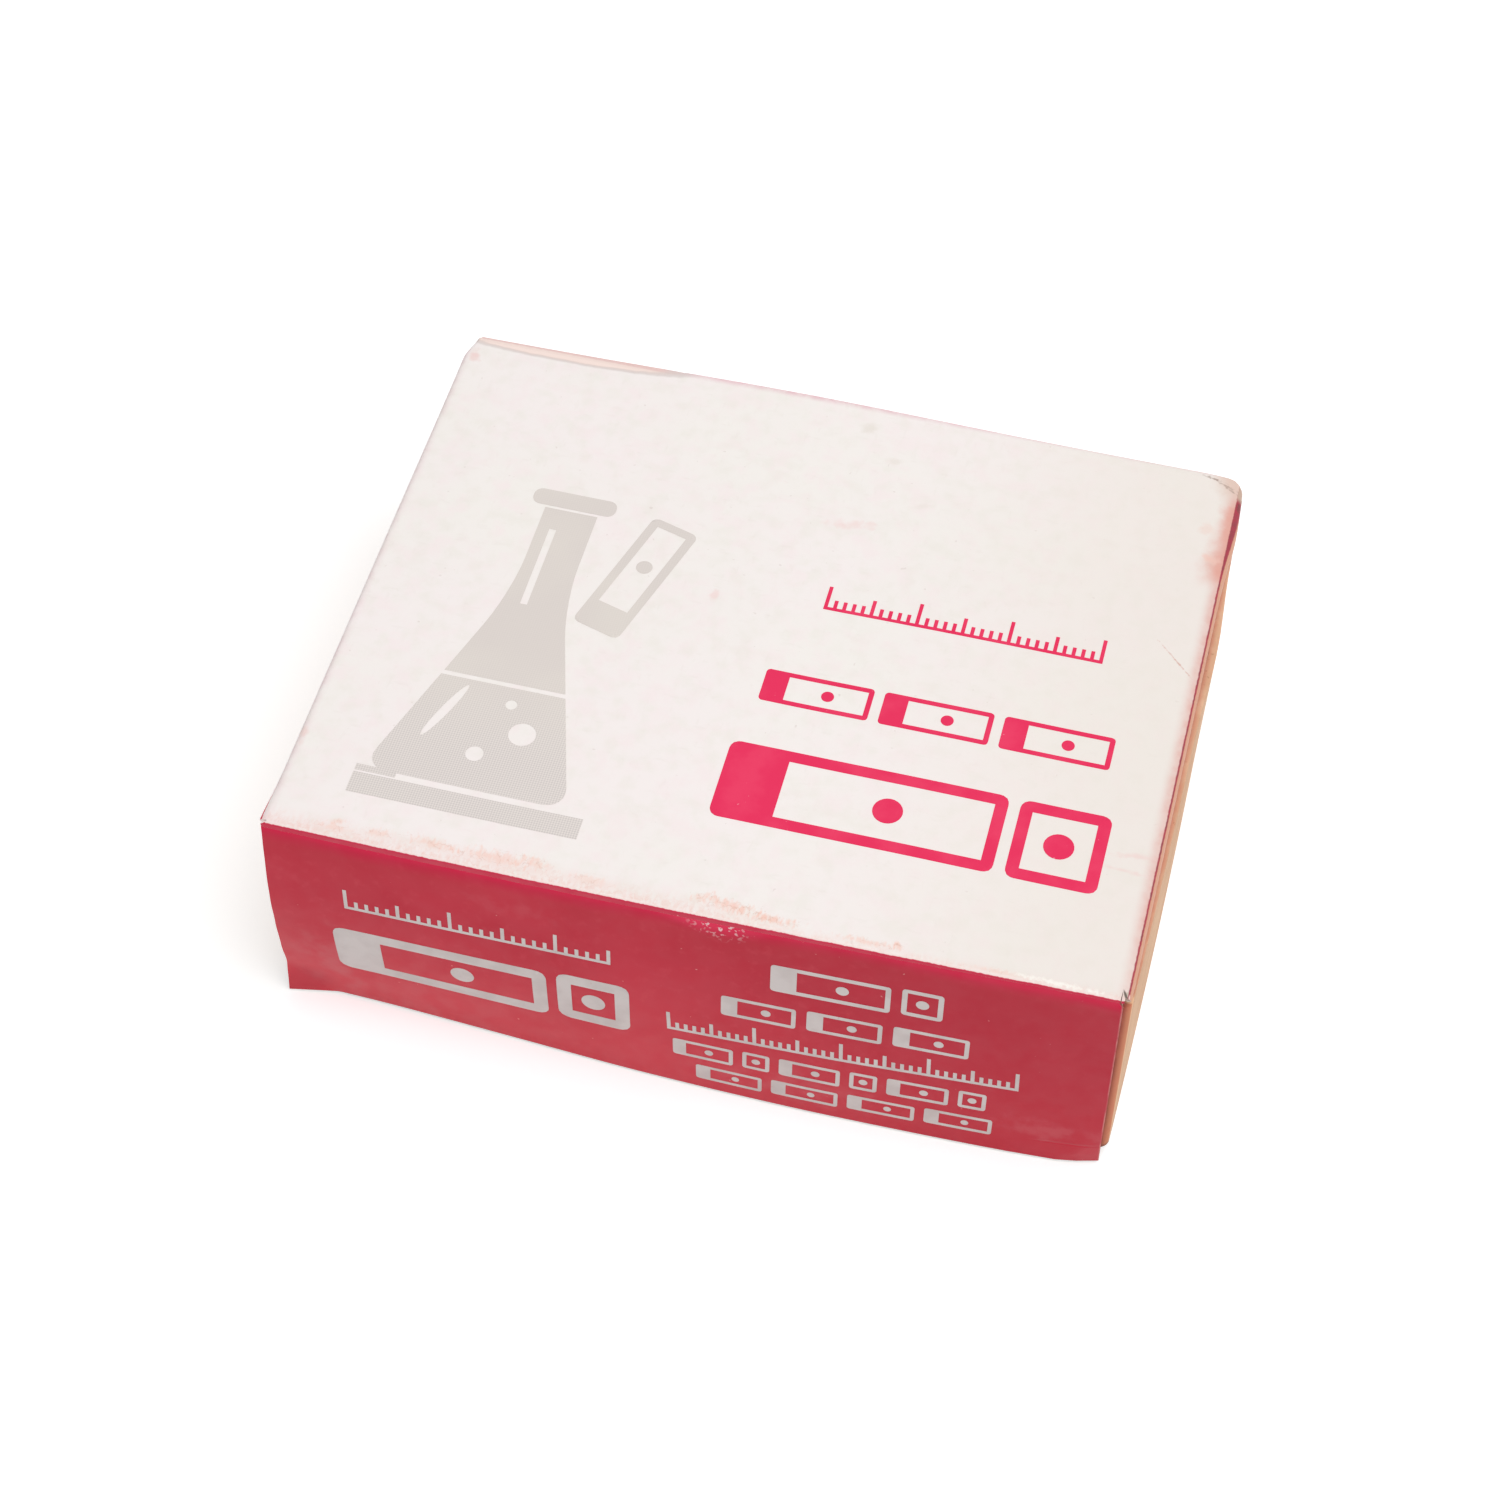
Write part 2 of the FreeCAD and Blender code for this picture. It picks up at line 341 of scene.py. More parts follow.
# a painted highlight along the rounded front right corner of the tray
corner_painted_highlight = area((along_y, tray_low.y + 0.0005, tray_low.y + 0.0008),
                    (along_y, tray_low.y + 0.0018, tray_low.y + 0.0011),
                    (along_x, tray_end - 0.0009, tray_end - 0.0004, 0, 0.7))
straw = blend(corner_painted_highlight, straw, (246, 200, 158))
# darker along the front foot: painted contact shadow by the floor, with some dirt
foot_dirt_and_painted_shadow = area((along_y, tray_low.y + 0.0035, tray_low.y + 0.001),
                 (along_z, tray_low.z + 0.002, tray_low.z + 0.0012, 0, 0.8))
straw = blend(foot_dirt_and_painted_shadow, straw, (92, 58, 46))
feed(surface, "Base Color", straw)
relief = emboss(surface, fibres, 0.00006, 0.7)
emboss(surface, grain(where, 0.00022, 3, shift=2), 0.00003, 0.5, relief)
tray.data.materials.append(strawboard)
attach(tray, "box")
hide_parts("tray")


# Base sheet and back wall: the part of the printed case that is glued to the tray. It is coated card,
# creased at the back of the base, with the crimson print on its outside and grey board inside.

base_low, base_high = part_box("base_and_back")
card = 0.0004
crease_radius = 0.0009
back_wall_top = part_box("lid")[1].z - 0.00116
back_lean = 0.00025
back_bow = 0.0005
back_bow_middle = -0.005
back_bow_reach = 0.019


def sheet(name, low, high, columns, rows):
    """A flat sheet in a level plane between two corners, divided for shaping."""
    return start_piece(bpy.ops.mesh.primitive_grid_add, name, (high.x - low.x, high.y - low.y, 1), size=1,
                       x_subdivisions=columns, y_subdivisions=rows, location=(low + high) / 2)


def draw_out(piece, on_edge, path):
    """Extrudes the open edge that passes a test along the steps of a path."""
    pick(piece, "EDGE", on_edge)
    for step in path:
        bpy.ops.mesh.extrude_region_move(TRANSFORM_OT_translate={"value": step})
    bpy.ops.object.mode_set(mode="OBJECT")


def turn(radius, start, end, steps, across=(1, 0, 0)):
    """Steps along an upright arc from one angle to another."""
    angles = [math.radians(start + (end - start) * step / steps) for step in range(steps + 1)]
    points = [radius * (math.cos(angle) * Vector(across) + Vector((0, 0, math.sin(angle)))) for angle in angles]
    return [b - a for a, b in zip(points, points[1:])]


case_base = sheet("base_and_back_card", base_low,
                  Vector((base_high.x, base_high.y - crease_radius, base_low.z)), 78, 60)
wall_rise = back_wall_top - base_low.z - crease_radius
back_courses = 25
wall_steps = [Vector((0, 0, wall_rise / back_courses))] * back_courses
draw_out(case_base, lambda middle, along: middle.y > base_high.y - crease_radius - near,
         turn(crease_radius, -90, 0, 8, across=(0, 1, 0)) + wall_steps)
work_all(bpy.ops.mesh.normals_make_consistent, inside=False)


def back_bulge(x):
    """How far the slides have pushed the top of the back wall out, most of all left of its middle."""
    from_peak = x - (base_low.x + base_high.x) / 2 - back_bow_middle
    return back_lean + back_bow * math.exp(-(from_peak / back_bow_reach) ** 2)


def lean_back(co):
    """The back wall leans out from its crease upwards, into its bulge."""
    rise = within((co.z - base_low.z - crease_radius) / wall_rise)
    co.y += back_bulge(co.x) * rise
    return co


press(case_base, lean_back)


def face_outwards(piece, test, wanted):
    """Turns a sheet over if the faces that pass a test don't face the wanted way."""
    facing = [face.normal.dot(Vector(wanted)) for face in piece.data.polygons if test(face.center)]
    if sum(facing) < 0:
        work_all(bpy.ops.mesh.flip_normals)


face_outwards(case_base, lambda middle: middle.z < base_low.z + near / 10, (0, 0, -1))

# The case's inside is bare board, and its cut edge shows pale layers round a darker middle ply
bare_board, surface = start_finish("bare_board", (206, 196, 180), 0.8)
where = places(surface)[0]
fibres = grain(where, 0.0006, 6, (2.5, 1, 1), shift=3)
clouds = grain(where, 0.012, 3, shift=1)
flecks = grain(where, 0.00045, 1, shift=6)
tone = blend(fade(clouds, 0.3, 0.7), (208, 198, 182), (196, 184, 168))
tone = tint(tone, (fibres, 0.45, 0.75, 0.5, (220, 212, 198)), (flecks, 0.7, 0.78, 0.7, (140, 122, 108)))
feed(surface, "Base Color", tone)
emboss(surface, fibres, 0.00003, 0.6)

card_cut_edge, surface = start_finish("card_cut_edge", (222, 208, 194), 0.85)
where, along_x, along_y, _ = places(surface)
fibres = grain(where, 0.0003, 4, (4, 4, 1), shift=5)
tone = blend(fade(fibres, 0.35, 0.65), (228, 214, 200), (196, 172, 158))
case_low, case_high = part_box("lid")
stained = area((along_x, case_high.x - 0.0014, case_high.x - 0.001, 0, 0.9),
               (along_y, case_low.y + 0.0006, case_low.y + 0.0004))
chalky = area((along_x, case_low.x + 0.0009, case_low.x + 0.0007, 0, 0.9),
              (along_y, case_low.y + 0.0008, case_low.y + 0.0006))
tone = blend(chalky, blend(stained, tone, (158, 66, 62)), (250, 236, 234))
feed(surface, "Base Color", tone)
emboss(surface, fibres, 0.00003, 0.8)


def add_thickness(piece, outside):
    """Gives a card skin its finishes and its thickness: bare board inside, and a cut edge all round."""
    for finish in (outside, bare_board, card_cut_edge):
        piece.data.materials.append(finish)
    fit_modifier(piece, "SOLIDIFY", thickness=card, offset=-1, use_even_offset=True,
                 material_offset=1, material_offset_rim=2)
    smooth(piece, 35)


def red_print(where, fold_share, seed):
    """The crimson print: vivid by the folds, where painted light stands for the card curving into them, and
    rubbed to a duller, paler red where it is handled.
    """
    rubbed = grain(where, 0.016, 4, shift=seed)
    fine = grain(where, 0.0011, 4, shift=seed + 3)
    specks = grain(where, 0.00055, 1, shift=seed + 5)
    tone = blend(fade(rubbed, 0.32, 0.68), (196, 40, 60), (207, 52, 71))
    tone = blend(fold_share, tint(tone, (fine, 0.5, 0.8, 0.35, (216, 72, 86))), (212, 20, 66))
    return tint(tone, (specks, 0.79, 0.83, 0.8, (240, 176, 172)))


print_red = (196, 52, 74)
back_print, surface = start_finish("printed_card_back", print_red, 0.42)
where, along_x, _, along_z = places(surface)
near_hinge = fade(along_z, back_wall_top - 0.0014, back_wall_top - 0.0002)
ragged = grain(where, 0.0012, 5, (4, 1, 1), shift=2)
side_gap = minus(base_high.x - base_low.x, times(off_line(along_x, (base_high.x + base_low.x) / 2), 2.0))
worn_edge = fade(work_out("MULTIPLY_ADD", ragged, 0.0012, side_gap), 0.0014, 0.0007)
worn_crease = area((along_z, base_low.z + 0.0016, base_low.z + 0.0005), (ragged, 0.45, 0.62))
red = blend(work_out("MAXIMUM", worn_edge, worn_crease), red_print(where, near_hinge, 11), (236, 190, 178))
under = blend(fade(grain(where, 0.014, 4, shift=8), 0.3, 0.7), (222, 214, 204), (208, 198, 186))
on_base = fade(along_z, base_low.z + 0.0004, base_low.z + 0.0002)
feed(surface, "Base Color", blend(on_base, red, under))
emboss(surface, grain(where, 0.0005, 4, shift=1), 0.00002, 0.5)
add_thickness(case_base, back_print)
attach(case_base, "box")
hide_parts("base_and_back")


# Slides: fifty plain glass slides with cut edges, standing on their long edges in one row. Each is
# scored and snapped from sheet glass, so its edges are sharp, and show the green of its depth.

slide_names = sorted(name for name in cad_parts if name.startswith("slide_"))
slide_edge_chamfer = 0.00007

clear_glass, surface = start_finish("clear_glass", (238, 248, 244), 0.02)
feed(surface, "Transmission Weight", 0.92)
feed(surface, "IOR", 1.52)
smudges = grain(places(surface)[0], 0.008, 4, shift=3)
feed(surface, "Roughness", fade(smudges, 0.5, 0.8, 0.01, 0.12))

green_edge, surface = start_finish("green_glass_edge", (150, 190, 174), 0.16)
feed(surface, "Transmission Weight", 0.3)
feed(surface, "IOR", 1.52)
where = places(surface)[0]
depth_tone = grain(where, 0.0012, 3, (14, 1, 3), shift=8)
snapped = grain(where, 0.0006, 2, (3, 1, 1), shift=14)
tone = blend(fade(depth_tone, 0.25, 0.75), (150, 188, 174), (182, 210, 198))
feed(surface, "Base Color", tint(tone, (snapped, 0.6, 0.75, 0.3, (222, 236, 228))))
emboss(surface, snapped, 0.00002, 0.4)

first_low, first_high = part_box(slide_names[0])
slide_pattern = block("glass_slide_01", first_low, first_high)
work_all(bpy.ops.mesh.bevel, offset=slide_edge_chamfer, segments=2, affect="EDGES")
smooth(slide_pattern, 25)
slide_pattern.data.materials.append(clear_glass)
slide_pattern.data.materials.append(green_edge)
for face in slide_pattern.data.polygons:
    face.material_index = 0 if abs(face.normal.y) > 0.95 else 1
for name in slide_names:
    low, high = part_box(name)
    slide = slide_pattern
    if name != slide_names[0]:
        slide = slide_pattern.copy()
        slide.data = slide_pattern.data.copy()
        slide.name = "glass_" + name
        bpy.context.collection.objects.link(slide)
        slide.data.transform(Matrix.Translation(low - first_low))
    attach(slide, "box")
    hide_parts(name)


# Lid: the top panel of the same card, with an end flap folded down from each end. The fold at each end
# is crushed into a bead, and the flap below it is tucked inside the tray's end wall. The panel is left
# white, and the crimson print starts at the beads and at the front and back folds.

lid_low, lid_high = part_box("lid")
lid_top = lid_high.z
hinge_height = lid_top - card
lid_left, lid_right = lid_low.x, lid_high.x
fold_front, hinge_back = lid_low.y, lid_high.y
lid_middle = Vector(((lid_left + lid_right) / 2, (fold_front + hinge_back) / 2, lid_top))
fold_radius = 0.00035
bead_radius = 0.0004
bead_return_radius = 0.001
bead_inset = 0.0009
bead_lean = math.degrees(math.acos(1 - bead_inset / (bead_radius + bead_return_radius)))
end_flap_foot = lid_low.z
end_flap_front_reach = 0.06107
end_flap_back_gap = 0.0024
end_flap_corner = 0.003
corner_cut_length = 0.0026
corner_cut_width = 0.0008
worn_corner_radius = 0.0018
fold_skew_left = 0.00035
fold_skew_right = 0.00025
fold_bow = 0.0003
fold_closing = 0.000016
back_lip_drop = 0.0011
back_lift = 0.0003
back_lift_reach = 0.014
white_half_length = 0.03966
white_shift = -0.0002

bead_outer = bead_radius + card / 2
panel_left = lid_left + bead_outer
panel_right = lid_right - bead_outer
lid = sheet("lid_card", Vector((panel_left, fold_front + fold_radius, lid_top)),
            Vector((panel_right, hinge_back - fold_radius, lid_top)), 158, 126)
return_outer = bead_return_radius - card / 2
return_end = lid_top - bead_outer - (bead_radius + bead_return_radius) * math.sin(math.radians(bead_lean))
flap_rows = 17
flap_steps = [Vector((0, 0, (end_flap_foot - return_end) / flap_rows))] * flap_rows
right_path = turn(bead_outer, 90, -bead_lean, 12) + turn(return_outer, 180 - bead_lean, 180, 4) + flap_steps
left_path = [Vector((-step.x, 0, step.z)) for step in right_path]


def on_top(middle):
    """True for an edge of the flat panel."""
    return middle.z > lid_top - near / 10


draw_out(lid, lambda middle, along: on_top(middle) and middle.x > panel_right - near, right_path)
draw_out(lid, lambda middle, along: on_top(middle) and middle.x < panel_left + near, left_path)
lip_turn = turn(fold_radius, 90, 0, 5, across=(0, 1, 0))
back_lip_steps = [Vector((0, 0, (fold_radius - back_lip_drop) / 2))] * 2
draw_out(lid, lambda middle, along: on_top(middle) and middle.y > hinge_back - fold_radius - near
         and panel_left < middle.x < panel_right, lip_turn + back_lip_steps)
front_turn = [Vector((0, -step.y, step.z)) for step in lip_turn]
front_lip_step = Vector((0, 0, fold_radius - card - fold_closing))
draw_out(lid, lambda middle, along: on_top(middle) and middle.y < fold_front + fold_radius + near
         and panel_left < middle.x < panel_right, front_turn + [front_lip_step])


wide_bead = 0.00022
wide_bead_reach = 0.003


def widen_front_bead(co):
    """The left bead is crushed a little wider by the front."""
    if co.x < panel_left:
        upper = within((co.z - lid_top + 2 * bead_outer) / bead_outer)
        wider = wide_bead * upper * math.exp(-((co.y - fold_front) / wide_bead_reach) ** 2)
        co.x -= wider * (panel_left - co.x) / bead_outer
    return co


def end_flap_outline(co):
    """Below the panel, the end flaps are cut back at both sides, and their lower corners are round."""
    on_lips = co.y < fold_front + fold_radius - near or co.y > hinge_back - fold_radius + near
    if co.z > hinge_height - 1e-5 or on_lips:
        return co
    above_foot = end_flap_corner * within((co.z - end_flap_foot) / end_flap_corner)
    rounding = end_flap_corner - math.sqrt(end_flap_corner ** 2 - (end_flap_corner - above_foot) ** 2)
    front = hinge_back - math.sqrt(end_flap_front_reach ** 2 - (hinge_height - co.z) ** 2) + rounding
    back = hinge_back - end_flap_back_gap - rounding
    share = (co.y - fold_front - fold_radius) / (hinge_back - fold_front - 2 * fold_radius)
    co.y = front + (back - front) * share
    return co


def worn_corners(co):
    """The back right corner is rubbed round, and the back left one is cut off aslant."""
    centre = Vector((lid_right - worn_corner_radius, hinge_back - worn_corner_radius))
    u = (co.x - centre.x) / worn_corner_radius
    v = (co.y - centre.y) / worn_corner_radius
    if u > 0 and v > 0:
        co.x = centre.x + worn_corner_radius * u * math.sqrt(max(1 - v * v / 2, 0))
        co.y = centre.y + worn_corner_radius * v * math.sqrt(max(1 - u * u / 2, 0))
    into_cut = (co.y - hinge_back + corner_cut_length) / corner_cut_length
    if into_cut > 0:
        near_left = within(1 - (co.x - lid_left) / (5 * corner_cut_width))
        co.x += corner_cut_width * into_cut * near_left
    return co


crease_middle = -0.0300
crease_half_length = 0.0128
crease_width = 0.00144
crease_slope = 0.12
crushed_reach = 0.0042
crushed_depth = 0.00035
swollen_bead = 0.0003
left_ear = 0.0004


panel_depth = 0.0009
flat_edge = 0.006
swelling_middle = 0.0075
swelling_reach = 0.0045
valley_half_width = 0.0006
waves = ((55, 0.00009, 0), (160, 0.00003, 3))
fold_roughness = 0.00004


def fold_shift(x):
    """How far the front fold stands out of line: out at its left end and middle, in at its right end."""
    share = (x - lid_left) / (lid_right - lid_left)
    return fold_skew_left * (1 - share) - fold_skew_right * share + fold_bow * 4 * share * (1 - share)


def ragged_fold(x):
    """The small unevenness along the front fold."""
    return noise.noise(Vector((x * 300, 0, 2))) * fold_roughness


def handled(co):
    """Years of handling: slow waves, a crooked front fold, a crease by the hinge and a crushed corner."""
    off_back = hinge_back - co.y
    depth = within(off_back / (hinge_back - fold_front))
    on_panel = co.z > hinge_height - panel_depth
    on_lip = co.y < fold_front + near and co.z < lid_top - fold_radius - 2 * near
    if on_panel and co.x > panel_right:
        swelling = math.exp(-((off_back - swelling_middle) / swelling_reach) ** 2)
        co.x += swollen_bead * swelling * (co.x - panel_right) / bead_outer
    if on_panel:
        inland = within(min(co.x - lid_left, lid_right - co.x, co.y - fold_front, off_back) / flat_edge)
        wave = sum(noise.noise(co * count + Vector((shift, 0, 0))) * height for count, height, shift in waves)
        off_crease = (co.x - lid_middle.x - crease_middle) / crease_half_length
        width = crease_width * math.sqrt(max(1 - off_crease ** 2, 0))
        valley = max(valley_half_width - abs(width - off_back), 0) * crease_slope if width else 0
        corner = Vector((lid_right - co.x, off_back)).length / crushed_reach
        lifted = max(1 - off_back / back_lift_reach, 0) ** 2 * back_lift
        above_lip = within((co.z - lid_top + back_lip_drop) / back_lip_drop)
        crushed = crushed_depth * max(1 - corner, 0) ** 1.5
        co.z += wave * inland - valley + (lifted - crushed) * above_lip
    on_fold = co.y < fold_front + fold_radius - near and co.z > hinge_height - 10 * near
    if on_fold and co.x < panel_left + near:
        co.x -= left_ear * min((lid_top - co.z) / fold_radius, 1)
    if on_lip:
        co.z -= max(fold_shift(co.x), 0)
    co.y += back_bulge(co.x) * (1 - depth) ** 6 - fold_shift(co.x) * depth ** 2
    co.y -= ragged_fold(co.x) if depth > 0.99 else 0
    return co


for change in (end_flap_outline, worn_corners, handled):
    press(lid, change)
face_outwards(lid, lambda middle: middle.z > lid_top - 10 * near, (0, 0, 1))


def from_middle(x, y):
    """A place on the lid, given from the middle of its panel."""
    return Vector((lid_middle.x + x, lid_middle.y + y, 0))


def reach_of(where, centre, across, along, turned=0.0):
    """How far off the middle of an oval a place is: 0 at its middle and 1 on its outline."""
    placed = add_node(where, "Mapping", Vector=where, Location=centre, Rotation=(0, 0, math.radians(turned)),
                      Scale=(across, along, 1))
    placed.vector_type = "TEXTURE"
    length = add_node(where, "VectorMath", Vector=placed.outputs[0])
    length.operation = "LENGTH"
    return length.outputs["Value"]


def patch(where, rough, centre, across, along, turned=0.0, strength=1.0):
    """A patch of colour with a ragged outline, that thins out from its middle and is broken up by the same
    grain.
    """
    return fade(roughen(reach_of(where, centre, across, along, turned), rough, 2.4), 0.9, 0.0, 0, strength)


def lay_stains_and_painted_light(where, rough, base, colour, stains, middle=lid_middle):
    """Lays patches of one colour, stains as well as painted light and shade. Each has its place from a middle,
    its size, its turn and its strength.
    """
    for x, y, across, along, turned, strength in stains:
        place = Vector((middle.x + x, middle.y + y, 0))
        base = blend(patch(where, rough, place, across, along, turned, strength), base, colour)
    return base


lid_print, surface = start_finish("printed_card_lid", (245, 237, 233), 0.5)
where, along_x, along_y, along_z = places(surface)
warm = grain(where, 0.014, 3, shift=17)
rosy = grain(where, 0.0021, 4, shift=7)
dull = grain(where, 0.0017, 5, shift=27)
hairs = grain(where, 0.0007, 3, (2.4, 0.8, 1), shift=5)
cross_hairs = grain(where, 0.0007, 3, (0.8, 2.4, 1), shift=6)
fine = grain(where, 0.00035, 3, shift=15)
ragged = grain(where, 0.0012, 8, shift=9)
speckle = grain(where, 0.0005, 5, (0.8, 1.7, 1), shift=12)
specks = grain(where, 0.0005, 0, shift=21)
white = blend(fade(warm, 0.3, 0.7), (248, 240, 238), (246, 241, 236))
white = tint(white, (rosy, 0.42, 0.72, 0.5, (248, 233, 233)), (dull, 0.44, 0.74, 0.5, (239, 234, 226)),
             (hairs, 0.6, 0.76, 0.16, (228, 219, 212)), (cross_hairs, 0.6, 0.76, 0.16, (230, 221, 214)),
             (specks, 0.86, 0.89, 0.25, (196, 178, 170)),
             (along_x, lid_middle.x + 0.004, lid_right, 0.62, (236, 227, 218)))

# The white panel's wear: a rubbed front fold, tinted ends and back, a crease by the hinge, a worn corner; with
# painted highlights and shade at the fold, the crease and the front right corner
from_left = minus(along_x, lid_left)
from_right = minus(lid_right, along_x)
share = work_out("DIVIDE", from_left, lid_right - lid_left)
bowed = times(share, minus(1.0, share), 4 * fold_bow)
fold_line = work_out("MULTIPLY_ADD", share, -fold_skew_left - fold_skew_right, bowed)
from_fold = work_out("ADD", fold_line, minus(along_y, fold_front - fold_skew_left))
from_hinge = minus(hinge_back + back_lean, along_y)
scratches = fade(off_line(grain(where, 0.0009, 3, shift=33), 0.5), 0.035, 0.0)
broken = work_out("MULTIPLY_ADD", scratches, 0.5, fade(speckle, 0.36, 0.62, 0.3, 1.0))
rub_reach = fade(along_x, lid_middle.x - 0.002, lid_middle.x + 0.012, 0.0026, 0.0011)
rubbed = work_out("MAXIMUM", minus(1.0, work_out("DIVIDE", from_fold, rub_reach)), 0.0)
rubbed = times(work_out("POWER", rubbed, 1.7), broken, 0.6)
white = blend(work_out("MINIMUM", rubbed, 0.9), white, (240, 196, 184))
scuffs = [(-0.0332, -0.0308, 0.0024, 0.0006, 0, 0.5), (-0.0330, -0.0301, 0.0012, 0.0005, 8, 0.5),
          (-0.0290, -0.0304, 0.0020, 0.0007, 4, 0.5), (-0.0238, -0.0303, 0.0034, 0.0008, -3, 0.6),
          (-0.0180, -0.0303, 0.0050, 0.0011, 0, 0.6), (-0.0142, -0.0302, 0.0024, 0.0012, 0, 0.5),
          (-0.0090, -0.0306, 0.0030, 0.0008, 0, 0.4), (0.0010, -0.0298, 0.0016, 0.0007, 30, 0.5),
          (0.0038, -0.0302, 0.0040, 0.0010, -4, 0.8), (0.0076, -0.0306, 0.0034, 0.0007, 0, 0.8),
          (0.0162, -0.0308, 0.0040, 0.0005, 0, 0.6), (0.0190, -0.0306, 0.0009, 0.0006, 0, 0.8),
          (0.0280, -0.0310, 0.0030, 0.0004, 0, 0.4)]
white = lay_stains_and_painted_light(where, speckle, white, (247, 203, 188), scuffs)
scored = lay_stains_and_painted_light(where, fine, white, (206, 158, 138), scuffs)
white = blend(times(scratches, 0.55), white, scored)
# painted highlight: the white lightens along the front fold's edge, most at its right end
white = tint(white, (from_fold, 0.00035, 0.00015, 0.5, (250, 238, 234)))
white = lay_stains_and_painted_light(where, fine, white, (253, 248, 240), [(0.0335, -0.0309, 0.0060, 0.0004, -1, 0.9)])
end_wear = area((along_y, lid_middle.y - 0.027, lid_middle.y - 0.023, 0.6, 1), (ragged, 0.35, 0.65, 0.7, 1))
end_wear = times(work_out("POWER", fade(from_right, 0.0019, 0.0004), 1.7), end_wear, 0.9)
white = blend(end_wear, white, (226, 176, 166))
smear_reach = fade(along_y, lid_middle.y + 0.019, lid_middle.y + 0.0255, 0.0029, 0.0020)
smeared = work_out("DIVIDE", roughen(from_right, ragged, -0.0016), smear_reach)
smeared = area((along_y, lid_middle.y + 0.0165, lid_middle.y + 0.0195),
               (along_y, lid_middle.y + 0.0295, lid_middle.y + 0.0275), (smeared, 1.1, 0.1, 0, 0.95))
white = blend(smeared, white, (227, 164, 149))
white = blend(area((from_left, 0.0011, 0.0001), (ragged, 0.35, 0.65, 0.2, 0.6)), white, (236, 210, 213))
white = blend(area((from_hinge, 0.0006, -0.0003), (ragged, 0.35, 0.65, 0.5, 0.9)), white, (232, 188, 196))
white = lay_stains_and_painted_light(where, ragged, white, (240, 196, 182), [
    (0.0382, 0.0207, 0.0013, 0.0010, -25, 0.8), (0.0374, 0.0243, 0.0012, 0.0012, 10, 0.3)])
white = lay_stains_and_painted_light(where, ragged, white, (240, 205, 200), [
    (0.0376, -0.0158, 0.0030, 0.0005, 3, 0.5), (0.0366, -0.0176, 0.0030, 0.0004, -4, 0.45),
    (-0.0386, 0.0290, 0.0009, 0.0013, 10, 0.7), (-0.0393, -0.0215, 0.0006, 0.0018, 0, 0.6),
    (0.0036, 0.0165, 0.0034, 0.0010, 12, 0.45), (-0.0070, 0.0045, 0.0006, 0.0014, 0, 0.45)])
white = lay_stains_and_painted_light(where, ragged, white, (230, 222, 212), [
    (0.0026, 0.0292, 0.0012, 0.0012, 0, 0.6), (0.0056, 0.0255, 0.0012, 0.0010, 0, 0.5),
    (0.0100, 0.0205, 0.0014, 0.0008, 20, 0.4)])
white = lay_stains_and_painted_light(where, fine, white, (214, 168, 154), [(0.0371, 0.0075, 0.0036, 0.00013, -45, 0.8)])

crease_reach = reach_of(where, from_middle(crease_middle, 0.0318), crease_half_length, crease_width)
crease_reach = roughen(crease_reach, ragged, 0.16)
in_crease = fade(crease_reach, 1.02, 0.9)
white = blend(times(in_crease, 0.8), white, (243, 218, 208))
white = blend(times(in_crease, fade(from_hinge, 0.0005, 0.0003, 0, 0.75)), white, (229, 192, 188))
# a painted highlight on the crease's raised ridge
crease_ridge_painted_highlight = area((from_hinge, 0.0006, 0.0008), (from_hinge, 0.0012, 0.001, 0, 0.6))
white = blend(times(in_crease, crease_ridge_painted_highlight), white, (251, 230, 222))
# painted shade: a grey line along the bottom of the crease
crease_line = area((crease_reach, 0.8, 0.92), (crease_reach, 1.16, 1.0))
white = blend(times(crease_line, 0.7), white, (217, 204, 200))
corner_reach = roughen(reach_of(where, from_middle(0.0400, 0.0318), 0.0034, 0.0040), ragged, 0.5)
white = tint(white, (corner_reach, 1.15, 0.4, 0.95, (226, 198, 184)))
white = lay_stains_and_painted_light(where, fine, white, (142, 112, 98), [
    (0.0380, 0.0305, 0.0024, 0.00024, -23, 0.5), (0.0388, 0.0299, 0.0014, 0.00018, -30, 0.5),
    (0.0368, 0.0310, 0.0016, 0.00020, -12, 0.45)])
# painted shade in the small recess beside the tear at the front right corner
white = lay_stains_and_painted_light(where, fine, white, (180, 172, 152), [(0.0396, -0.0305, 0.0007, 0.0009, 0, 0.7)])

# Where the white ends: on the beads, at the crest of the front fold, and everywhere below the panel
past_white = roughen(off_line(along_x, lid_middle.x + white_shift), fine, 0.00012)
on_bead = fade(past_white, white_half_length - 0.00005, white_half_length + 0.00007)
drop = roughen(minus(lid_top, along_z), fine, 0.00012)
at_fold = fade(from_fold, 0.0009, 0.0006)
over_front = times(at_fold, fade(drop, 0.00011, 0.00017))
below = fade(along_z, hinge_height - 0.00002, hinge_height - 0.0001)
printed = work_out("MAXIMUM", work_out("MAXIMUM", on_bead, below), over_front)
red = red_print(where, fade(along_z, hinge_height - 0.003, hinge_height), 31)
# painted shade on the outer side of the right bead, as a dark plum band
bead_painted_shade = area((along_x, lid_right - 0.0008, lid_right - 0.0005), (ragged, 0.3, 0.62, 1.0, 0.7))
red = blend(bead_painted_shade, red, (140, 50, 62))
bare_side = fade(along_y, lid_middle.y + 0.0175, lid_middle.y + 0.0275,
                 lid_right - 0.00027, lid_right + 0.00018)
bare_side = work_out("MULTIPLY_ADD", fine, 0.0001, minus(along_x, bare_side))
red = tint(red, (bare_side, 0, 0.00012, 0.92, (217, 162, 134)))
card_colour = blend(printed, white, red)

